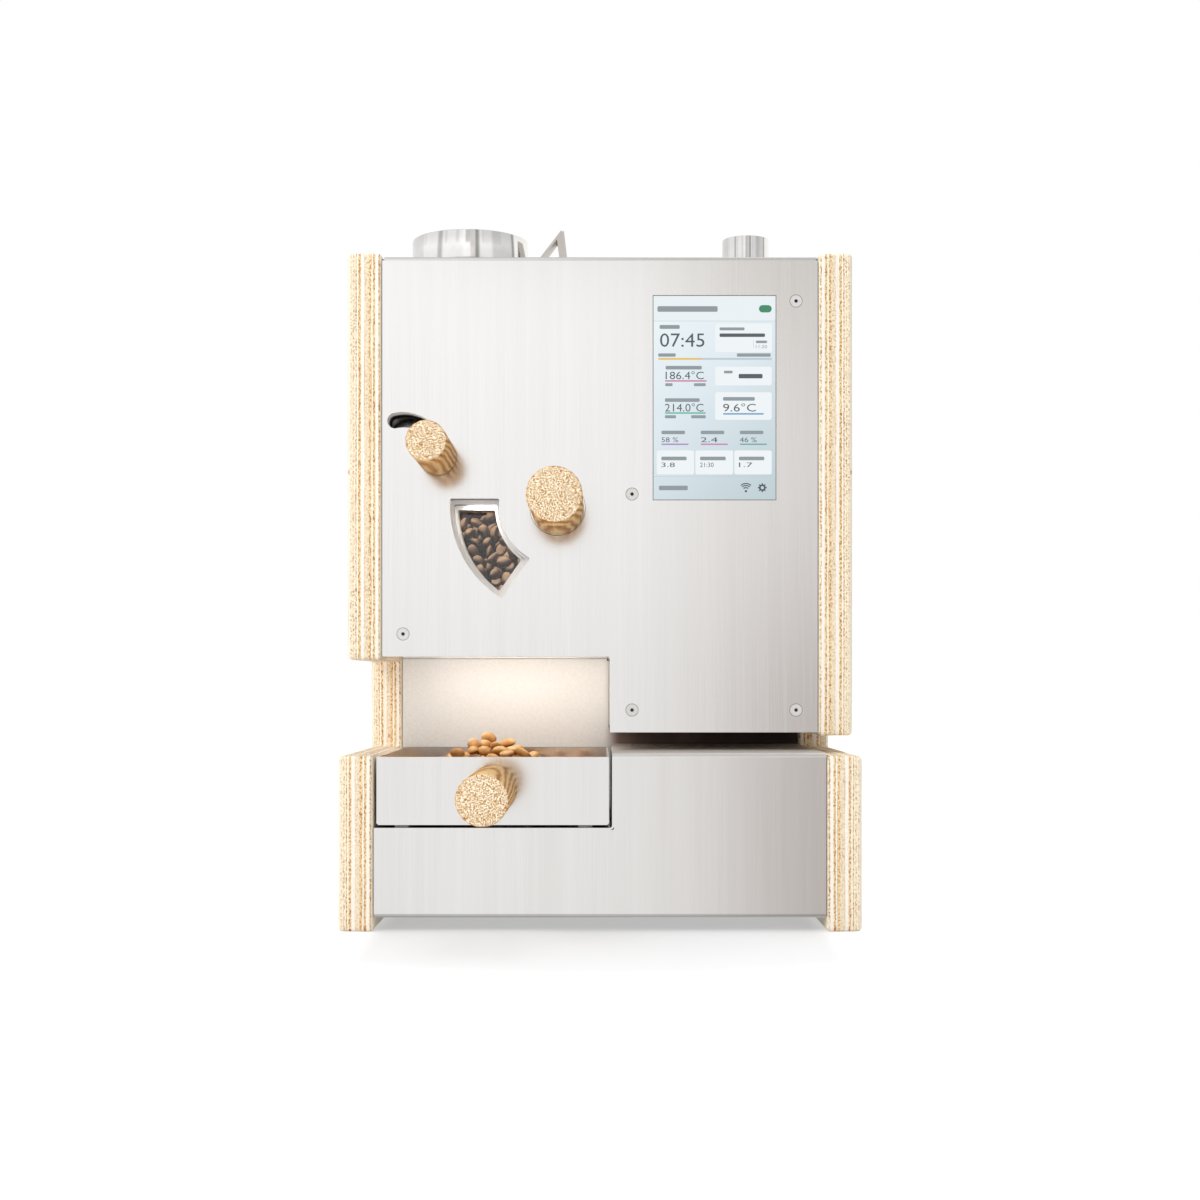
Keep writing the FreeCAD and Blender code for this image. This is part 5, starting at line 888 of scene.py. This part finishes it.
def spigot_outline(low, high, flange):
    reach, plate = flange - 8 * MM, 2 * MM
    return [(reach - WALL, low.z), (flange, low.z), (flange, low.z + plate), (reach, low.z + plate),
            (reach, high.z), (reach - WALL, high.z)]


def polished_piece(node, outline, steps):
    low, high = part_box(node)
    corners = outline(low, high, (high.x - low.x) / 2)
    piece = turned(node + "_polished", corners, RIM_EASE, (low + high) / 2, "z", polished, steps)
    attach(piece, "housing")
    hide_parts(node)
    print(node, "turned from", len(corners), "corners")


polished_piece("hopper_cup", hopper_outline, 128)
polished_piece("exhaust_stack", spigot_outline, 96)

# %% [markdown]
# Where a screw's head, the trier's ring or the display's glass sits in the cover there is a shadow line a few
# tenths of a millimetre wide. A thin dark ring in each seam draws it, which a path tracer would otherwise
# need thousands of samples to find.

# %% Seams
def seam_finish():
    f = Finish("seam_shadow")
    grit = f.even(700)
    return f.surface(Base_Color=f.toned(grit, tint(96, 92, 90), tint(120, 115, 112)),
                     Roughness=0.7 + grit * 0.1)


SEAM_HIGH = 0.04 * MM
SCREW_SEAM = (4.42 * MM, 4.78 * MM)
BUSH_SEAM = (-0.10 * MM, 0.35 * MM)     # from the trier ring's rim
GLASS_SEAM = (0.30 * MM, 0.25 * MM)     # inward and outward of the cover's edge
GLASS_LAP = 5.0 * MM     # the display's glass reaches this far behind the cover all round
HEAD_REACH = 12 * MM     # corners closer together than this belong to one screw's head
seam_shadow = seam_finish()
cover_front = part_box("front_cover")[0].y
glass_low, glass_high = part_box("display_glass")


def seam_ring(name, x, z, inner, outer):
    outside = cover_front - SEAM_HIGH
    corners = [(inner, outside), (outer, outside), (outer, cover_front), (inner, cover_front)]
    ring = turned(name, corners, 0.01 * MM, (x, 0, z), "y", seam_shadow, 64)
    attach(ring, "housing")


def middle(spots):
    """The middle of the box round some spots, across and up."""
    across, up = [p.x for p in spots], [p.z for p in spots]
    return (min(across) + max(across)) / 2, (min(up) + max(up)) / 2


def screw_places():
    """Middles of the screws' heads, found from the corners that lie in the heads' face."""
    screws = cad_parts["cover_screws"]
    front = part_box("cover_screws")[0].y
    heads = []
    for vertex in screws.data.vertices:
        spot = screws.matrix_world @ vertex.co
        if spot.y > front + 0.2 * MM:
            continue
        for head in heads:
            if abs(head[0].x - spot.x) < HEAD_REACH and abs(head[0].z - spot.z) < HEAD_REACH:
                head.append(spot)
                break
        else:
            heads.append([spot])
    return [middle(head) for head in heads]


def seam_frame(name, low, high, y, inner, outer):
    """A thin square frame round an opening from low to high, drawn as one sheet with a hole."""
    corners = [(low.x, low.z, -1, -1), (high.x, low.z, 1, -1), (high.x, high.z, 1, 1), (low.x, high.z, -1, 1)]
    points = [(x + a * reach, y, z + b * reach) for reach in (outer, -inner) for x, z, a, b in corners]
    faces = [(k, (k + 1) % 4, (k + 1) % 4 + 4, k + 4) for k in range(4)]
    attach(mesh_piece(name, points, faces, seam_shadow), "housing")


lap = Vector((GLASS_LAP, 0, GLASS_LAP))
seam_frame("display_seam", glass_low + lap, glass_high - lap, cover_front - 0.03 * MM, *GLASS_SEAM)
heads = screw_places()
for k, (x, z) in enumerate(heads):
    seam_ring(f"screw_seam_{k}", x, z, *SCREW_SEAM)
bush_low, bush_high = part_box("trier_bushing")
bush_reach = (bush_high.x - bush_low.x) / 2
bush_x, bush_z = middle([bush_low, bush_high])
seam_ring("trier_seam", bush_x, bush_z, bush_reach + BUSH_SEAM[0], bush_reach + BUSH_SEAM[1])
print("seams round", len(heads), "screws, the trier and the display")

# %% [markdown]
# ## The display
# The screen is a picture made of real small pieces: a glowing sheet, and on it thin plates for bars, cards
# and rules, and outlines of figures. Places are in millimetres from the screen's upper left corner. An
# instrument shows its readings large and its captions small, so captions are plain bars here.

# %% Display inks
PIXEL_WAVES = 4200       # radians of the faint grid's sine to a metre
SCREEN_MARGIN = 5 * MM
SCREEN_LEFT = glass_low.x + SCREEN_MARGIN
SCREEN_TOP = glass_high.z - SCREEN_MARGIN
SCREEN_WIDE = glass_high.x - SCREEN_MARGIN - SCREEN_LEFT
SCREEN_HIGH = SCREEN_TOP - glass_low.z - SCREEN_MARGIN


def pixel_grid(x, z):
    return ((x * PIXEL_WAVES).sine() + (z * PIXEL_WAVES).sine()) * 0.25


def ink_finish(name, colour):
    """A lit colour with the faint grid of the screen's pixels in it."""
    f = Finish(name)
    x, _, z = f.axes(f.place())
    cloud = f.even(14)
    glow = f.mixed((pixel_grid(x, z) + 0.5) * 0.05 + cloud * 0.04, colour, (1, 1, 1, 1))
    return f.surface(Base_Color=SCREEN_OFF, Roughness=0.25 + cloud * 0.1, Specular_IOR_Level=0.05,
                     Emission_Color=glow, Emission_Strength=1.0)


def backdrop_finish():
    """The lit sheet: near white at the upper left corner, grey-blue at the lower right."""
    f = Finish("display_backdrop")
    x, _, z = f.axes(f.place())
    across = (x - SCREEN_LEFT) * (1 / SCREEN_WIDE)
    down = (SCREEN_TOP - z) * (1 / SCREEN_HIGH)
    fall = across * 0.35 + down * 0.65 + (f.even(9, 1.0) - 0.5) * 0.08
    glow = f.ramp(fall + pixel_grid(x, z) * 0.01, (0.0, tint(238, 246, 248)), (0.45, tint(222, 233, 240)),
                  (1.0, tint(190, 206, 210)))
    return f.surface(Base_Color=SCREEN_OFF, Roughness=0.22 + fall * 0.05, Specular_IOR_Level=0.05,
                     Emission_Color=glow, Emission_Strength=1.0)


SCREEN_OFF = tint(20, 22, 24)
INK_TINTS = {
    "header": tint(232, 240, 243), "card": tint(238, 244, 246), "text": tint(70, 80, 86),
    "caption": tint(138, 148, 153), "rule": tint(186, 200, 206), "green": tint(38, 132, 92),
    "mint": tint(80, 180, 150), "pink": tint(200, 100, 140), "blue": tint(110, 160, 200),
    "violet": tint(170, 120, 190), "rose": tint(196, 116, 176), "teal": tint(90, 165, 160),
    "yellow": tint(232, 190, 84), "icon": tint(60, 70, 75),
}
INKS = {"backdrop": backdrop_finish()}
for ink, colour in INK_TINTS.items():
    INKS[ink] = ink_finish("display_" + ink, colour)
print("screen", round(SCREEN_WIDE / MM, 1), "x", round(SCREEN_HIGH / MM, 1), "mm")

# %% [markdown]
# Every mark is a flat plate a few hundredths of a millimetre in front of the last layer. Rounded corners come
# from one helper, and all marks of one ink are joined into one mesh, which keeps the scene small.

# %% Marks on the screen
LAYER = 0.05 * MM
CORNER_STEPS = 5


def rounded(x0, y0, x1, y1, radius):
    """Corner points of a rounded plate; x to the right and y down, in mm from the screen's corner."""
    if radius <= 0:
        return [(x0, y0), (x1, y0), (x1, y1), (x0, y1)]
    centres = [(x1 - radius, y0 + radius, -90), (x1 - radius, y1 - radius, 0),
               (x0 + radius, y1 - radius, 90), (x0 + radius, y0 + radius, 180)]
    points = []
    for cx, cy, start in centres:
        for k in range(CORNER_STEPS + 1):
            a = math.radians(start + 90 * k / CORNER_STEPS)
            points.append((cx + radius * math.cos(a), cy + radius * math.sin(a)))
    return points


def on_screen(x, y, layer):
    return (SCREEN_LEFT + x * MM, glass_low.y - layer * LAYER, SCREEN_TOP - y * MM)


class Marks:
    """Collects plates by ink and layer, and makes one piece of each ink."""

    def __init__(self):
        self.plates = {}

    def plate(self, ink, outline, layer):
        self.plates.setdefault(ink, []).append([on_screen(x, y, layer) for x, y in outline])

    def bar(self, ink, x0, y0, x1, y1, radius=0.0, layer=3):
        self.plate(ink, rounded(x0, y0, x1, y1, radius), layer)

    def figures(self, ink, text, x0, y0, x1, y1, layer=3):
        """Figures fitted between two corners, cut from the plain outline font."""
        curve = bpy.data.curves.new("figures", "FONT")
        curve.body = text
        curve.resolution_u = 3
        holder = put_in_scene("figures", curve)
        mesh = bpy.data.meshes.new_from_object(holder)
        xs = [v.co.x for v in mesh.vertices]
        ys = [v.co.y for v in mesh.vertices]
        across, up = (x1 - x0) / (max(xs) - min(xs)), (y1 - y0) / (max(ys) - min(ys))
        for face in mesh.polygons:
            spots = [mesh.vertices[i].co for i in face.vertices]
            outline = [(x0 + (p.x - min(xs)) * across, y1 - (p.y - min(ys)) * up) for p in spots]
            self.plate(ink, outline, layer)
        bpy.data.objects.remove(holder)
        bpy.data.curves.remove(curve)
        bpy.data.meshes.remove(mesh)

    def ring(self, ink, cx, cy, inner, outer, start, stop, layer=3, steps=14):
        for k in range(steps):
            a = math.radians(start + (stop - start) * k / steps)
            b = math.radians(start + (stop - start) * (k + 1) / steps)
            spots = [(outer, a), (outer, b), (inner, b), (inner, a)]
            self.plate(ink, [(cx + r * math.cos(t), cy + r * math.sin(t)) for r, t in spots], layer)

    def pieces(self):
        for ink, plates in self.plates.items():
            points, faces = [], []
            for plate in plates:
                faces.append(tuple(range(len(points), len(points) + len(plate))))
                points += plate
            piece = mesh_piece("screen_" + ink, points, faces, INKS[ink])
            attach(piece, "housing")


def screen_marks():
    m = Marks()
    wide = SCREEN_WIDE / MM
    m.bar("backdrop", 0, 0, wide, SCREEN_HIGH / MM, layer=1)
    m.bar("header", 0, 0, wide, 18.6, layer=2)
    m.bar("caption", 3.3, 7.6, 48.1, 11.8, 1.0)
    m.bar("green", 78.8, 6.8, 88.3, 12.3, 2.7)
    m.bar("rule", 0, 18.5, wide, 18.8)
    # clock, next to the card with the running batch
    m.bar("caption", 4.9, 21.6, 19.9, 24.5, 0.8)
    m.figures("text", "07:45", 5.2, 27.8, 38.3, 37.9)
    m.bar("card", 46.2, 20.5, 88.5, 41.8, 1.6, layer=2)
    m.bar("caption", 49.5, 23.4, 68.1, 25.6, 0.7)
    m.bar("text", 49.5, 27.9, 83.3, 30.5, 0.8)
    m.bar("rule", 74.7, 32.8, 75.0, 38.9)
    m.bar("caption", 76.5, 33.2, 84.8, 35.1, 0.6)
    m.figures("caption", "11:20", 76.5, 36.5, 84.8, 38.9)
    # progress of the roast
    m.bar("caption", 3.9, 42.7, 16.9, 45.2, 0.7)
    m.bar("caption", 62.4, 42.7, 87.5, 45.2, 0.7)
    m.bar("rule", 3.9, 46.1, 88.5, 47.5, 0.7)
    m.bar("yellow", 3.9, 46.1, 35.9, 47.5, 0.7, layer=4)
    # two readings with a card beside each
    m.bar("caption", 9.4, 52.0, 36.3, 54.7, 0.8)
    m.figures("text", "186.4°C", 9.4, 56.0, 37.8, 62.0)
    m.bar("pink", 8.9, 62.7, 39.9, 63.7, 0.5)
    m.bar("caption", 9.1, 64.9, 14.6, 67.1, 0.6)
    m.bar("caption", 30.5, 64.9, 39.2, 67.1, 0.6)
    m.bar("card", 46.2, 52.6, 88.3, 66.5, 1.6, layer=2)
    m.bar("caption", 52.8, 55.6, 59.2, 57.6, 0.6)
    m.bar("text", 63.7, 58.0, 81.5, 61.3, 0.8)
    m.bar("caption", 8.9, 76.1, 34.7, 78.8, 0.8)
    m.figures("text", "214.0°C", 8.9, 79.9, 37.6, 86.0)
    m.bar("mint", 8.9, 86.5, 39.2, 87.6, 0.5)
    m.bar("caption", 8.9, 88.7, 17.1, 91.0, 0.6)
    m.bar("caption", 28.4, 88.7, 39.2, 91.0, 0.6)
    m.bar("card", 46.2, 71.6, 88.3, 92.1, 1.6, layer=2)
    m.bar("caption", 52.1, 75.2, 75.7, 77.9, 0.8)
    m.figures("text", "9.6°C", 52.1, 79.9, 76.5, 86.0)
    m.bar("blue", 52.1, 87.1, 82.4, 88.3, 0.5)
    # three settings, then three cards
    settings = [(6.3, "violet", "58 %"), (35.5, "rose", "2.4"), (64.6, "teal", "46 %")]
    for left, ink, figures in settings:
        m.bar("caption", left, 100.2, left + 17.5, 102.8, 0.8)
        m.figures("text", figures, left, 105.1, left + 12.5, 108.8)
        m.bar(ink, left, 109.8, left + 20.2, 110.8, 0.5)
    cards = [(2.8, 30.5, "3.8"), (31.6, 59.6, "21:30"), (60.5, 88.3, "1.7")]
    for left, right, figures in cards:
        m.bar("card", left, 114.9, right, 132.7, 1.4, layer=2)
        m.bar("caption", left + 3.4, 119.5, right - 5.5, 122.2, 0.8)
        m.figures("text", figures, left + 3.4, 123.9, left + 13.5, 127.3)
    # foot of the screen with a signal fan and a gear
    m.bar("rule", 0, 134.2, wide, 134.5)
    m.bar("caption", 4.4, 141.1, 25.9, 144.5, 0.9)
    m.ring("icon", 69.1, 145.2, 0, 0.9, 0, 360)
    for reach in (2.2, 3.8, 5.3):
        m.ring("icon", 69.1, 145.2, reach, reach + 0.8, -132, -48)
    m.ring("icon", 81.3, 142.6, 1.2, 2.5, 0, 360, steps=24)
    for k in range(8):
        m.ring("icon", 81.3, 142.6, 2.3, 3.3, 45 * k - 10, 45 * k + 10, steps=2)
    m.pieces()
    return len(m.plates)


print("screen drawn in", screen_marks(), "inks")

# %% [markdown]
# ## Beans
# A bean is an egg-shaped half: domed on the back, flat in front, with a crease along the flat. Its finish
# changes colour from place to place, which keeps neighbours apart, and it is painted lighter on the side that
# faces up, as painted light from above. The roasting ones, which tumble behind the window, also glow a little
# on the side that faces up, left and forward: a painted highlight in place of a light in the chamber. A
# cooled batch lies in the tray.

# %% Bean finishes
def bean_finish(name, dark, medium, light, gloss, glow):
    f = Finish(name)
    broad = f.even(115, 1.0)
    skin = f.even(900, 2.0, 0.6)
    over = f.axes(f.facing())
    up = over[2] * 0.5 + 0.5
    # painted highlight: the side that faces up, to the left and forward
    lit = (over[2] * 0.72 - over[0] * 0.35 - over[1] * 0.60).steps(0.40, 1.0)
    # painted light: the colour is lighter on the side that faces up
    colour = f.ramp(broad * 0.45 + skin * 0.15 + up * 0.40, (0.34, dark), (0.54, medium), (0.72, light))
    shine = f.mixed(lit, grey(0.0), light)
    return f.surface(Base_Color=colour, Roughness=gloss + skin * 0.2, Coat_Weight=0.3,
                     Emission_Color=shine, Emission_Strength=glow, Normal=f.bump(skin, 0.0003, 0.5))


roasted = bean_finish("roasting_beans", tint(38, 25, 18), tint(112, 74, 50), tint(226, 182, 142), 0.24, 0.62)
cooled = bean_finish("cooled_beans", tint(138, 84, 36), tint(202, 142, 76), tint(244, 198, 132), 0.34, 0.0)
print("two batches")

# %% [markdown]
# The bean starts as a ball of latitude rings. Points below the middle are pushed up to the flat, and the
# crease is a narrow S-shaped valley in it. Every bean is one of five seeded variants, swollen at one end and
# bent a little differently, then moved and turned.

# %% Bean shape
BEAN_LONG, BEAN_WIDE, BEAN_TALL = 12.8 * MM, 9.4 * MM, 6.8 * MM
DOME_SHARE = 0.7         # of the bean's height lies over its widest line
FLAT_SHARE = 0.42        # of the ball's lower half is left under it
CREASE_SWAY, CREASE_WIDTH, CREASE_DEPTH = 0.12, 0.16, 0.22
random.seed(11)


def bean_form(rows=9, columns=14):
    points, faces = [], []
    swell = random.uniform(-0.10, 0.10)
    bend = random.uniform(-0.08, 0.08)
    for row in range(rows + 1):
        lean = math.pi * row / rows
        for column in range(columns):
            turn = 2 * math.pi * column / columns
            x = math.cos(lean)
            y = math.sin(lean) * math.cos(turn) * (1 + swell * x)
            z = math.sin(lean) * math.sin(turn)
            if z < 0:
                off = y - CREASE_SWAY * math.sin(3 * x)
                crease = math.exp(-(off / CREASE_WIDTH) ** 2) * (1 - x * x)
                z = z * FLAT_SHARE + crease * CREASE_DEPTH
            bent = y + bend * x * x
            points.append(Vector((x * BEAN_LONG / 2, bent * BEAN_WIDE / 2, z * BEAN_TALL * DOME_SHARE)))
    for row in range(rows):
        for column in range(columns):
            n = (column + 1) % columns
            a, b = row * columns, (row + 1) * columns
            faces.append((a + column, a + n, b + n, b + column))
    return points, faces


BEAN_FORMS = [bean_form() for _ in range(5)]


def bean_heap(name, places, finish, body):
    """One mesh of all the beans of a batch; places holds (centre, rotation, scale)."""
    points, faces = [], []
    for k, (centre, rotation, size) in enumerate(places):
        form_points, form_faces = BEAN_FORMS[k % len(BEAN_FORMS)]
        base = len(points)
        points += [centre + rotation @ (p * size) for p in form_points]
        faces += [tuple(base + i for i in face) for face in form_faces]
    heap = mesh_piece(name, points, faces, finish, smooth_below=60)
    turn_outward(heap, weld=0.02 * MM)
    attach(heap, body)


def any_turn():
    return Euler([random.uniform(0, 2 * math.pi) for _ in range(3)]).to_matrix()


print(len(BEAN_FORMS), "bean forms")

# %% [markdown]
# In the drum the batch climbs on the side that turns upward, so it lies behind the window, low and to the
# left. Beans are placed in seeded tries: a try inside the drum is kept when it is clear of every bean before
# it, which packs them as close as loose beans lie. The first layer starts well behind the drum's mouth, so
# that no bean catches on the bulkhead when the drum turns.

# %% Beans in the drum
drum_low, drum_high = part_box("drum")
drum_x, drum_z = middle([drum_low, drum_high])
DRUM_LAYERS = 3
TRIES = 5200             # in each layer
BATCH_FROM, BATCH_TO = 148, 262      # degrees round the drum, from its right side over its top
INNER_SHARE = 0.16       # of the drum's round area stays empty, next to the shaft
DRUM_WALL_ROOM = 9 * MM
MOUTH_GAP = 8.2 * MM
LAYER_DEPTH = 6.9 * MM
ELBOW_ROOM = 8.4 * MM    # between two beans' middles


def drum_batch():
    reach = (drum_high.x - drum_low.x) / 2 - DRUM_WALL_ROOM
    kept = []
    for layer in range(DRUM_LAYERS):
        for _ in range(TRIES):
            angle = math.radians(random.uniform(BATCH_FROM, BATCH_TO))
            out = math.sqrt(random.uniform(INNER_SHARE, 1.0)) * reach
            y = drum_low.y + MOUTH_GAP + layer * LAYER_DEPTH + random.uniform(-1.0, 1.0) * MM
            centre = Vector((drum_x + out * math.cos(angle), y, drum_z + out * math.sin(angle)))
            size = random.uniform(0.88, 1.08)
            if all((centre - other[0]).length > ELBOW_ROOM for other in kept):
                kept.append((centre, any_turn(), size))
    return kept


drum_beans = drum_batch()
bean_heap("beans_in_drum", drum_beans, roasted, "drum")
print(len(drum_beans), "beans in the drum")

# %% [markdown]
# The tray's heap is poured: beans fall one by one on a coarse height map of the screen floor, and each rolls
# to the lowest of a few spots near where it lands. More fall in the middle than at the sides, so a low hill
# forms there.

# %% Beans in the tray
screen_low, screen_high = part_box("tray_screen")
HEAP_X, HEAP_SPREAD_X = -70 * MM, 50 * MM
HEAP_Y, HEAP_SPREAD_Y = (screen_low.y + screen_high.y) / 2 - 6 * MM, 28 * MM
HEAP_COUNT = 690
SPOTS = 7                # that a bean tries where it lands
SPOT_REACH = 7           # mm each way
WALL_ROOM = 9 * MM
MAP_CELL = 1.5 * MM
BEAN_HALF = 3.0 * MM     # from what a bean lies on up to its middle
BEAN_CROWN = 2.0 * MM    # from its middle up to what the next one lies on


def inside_tray(x, y):
    beside = screen_low.x + WALL_ROOM < x < screen_high.x - WALL_ROOM
    return beside and screen_low.y + WALL_ROOM < y < screen_high.y - WALL_ROOM


def cells_under(x, y):
    """The cells of the height map that a bean with its middle at x, y covers."""
    i, j = round(x / MAP_CELL), round(y / MAP_CELL)
    return [(i + a, j + b) for a in range(-2, 3) for b in range(-2, 3)]


def lying():
    """On its back or its flat, tilted a little and turned any way."""
    roll = random.gauss(0, 0.5) + random.choice((0, math.pi))
    return Euler((roll, random.gauss(0, 0.35), random.uniform(0, 2 * math.pi))).to_matrix()


def poured():
    heights = {}
    kept = []
    for _ in range(HEAP_COUNT):
        x0, y0 = random.gauss(HEAP_X, HEAP_SPREAD_X), random.gauss(HEAP_Y, HEAP_SPREAD_Y)
        spots = []
        for _ in range(SPOTS):
            x = x0 + random.uniform(-SPOT_REACH, SPOT_REACH) * MM
            y = y0 + random.uniform(-SPOT_REACH, SPOT_REACH) * MM
            if inside_tray(x, y):
                under = max(heights.get(cell, screen_high.z) for cell in cells_under(x, y))
                spots.append((under, x, y))
        if not spots:
            continue
        under, x, y = min(spots, key=lambda spot: spot[0])
        z = under + BEAN_HALF
        kept.append((Vector((x, y, z)), lying(), random.uniform(0.9, 1.08)))
        for cell in cells_under(x, y):
            heights[cell] = z + BEAN_CROWN
    return kept


tray_beans = poured()
bean_heap("beans_in_tray", tray_beans, cooled, "tray")
heap_top = max(centre.z for centre, _, _ in tray_beans)
print(len(tray_beans), "beans in the tray, up to", round(heap_top / MM, 1), "mm")
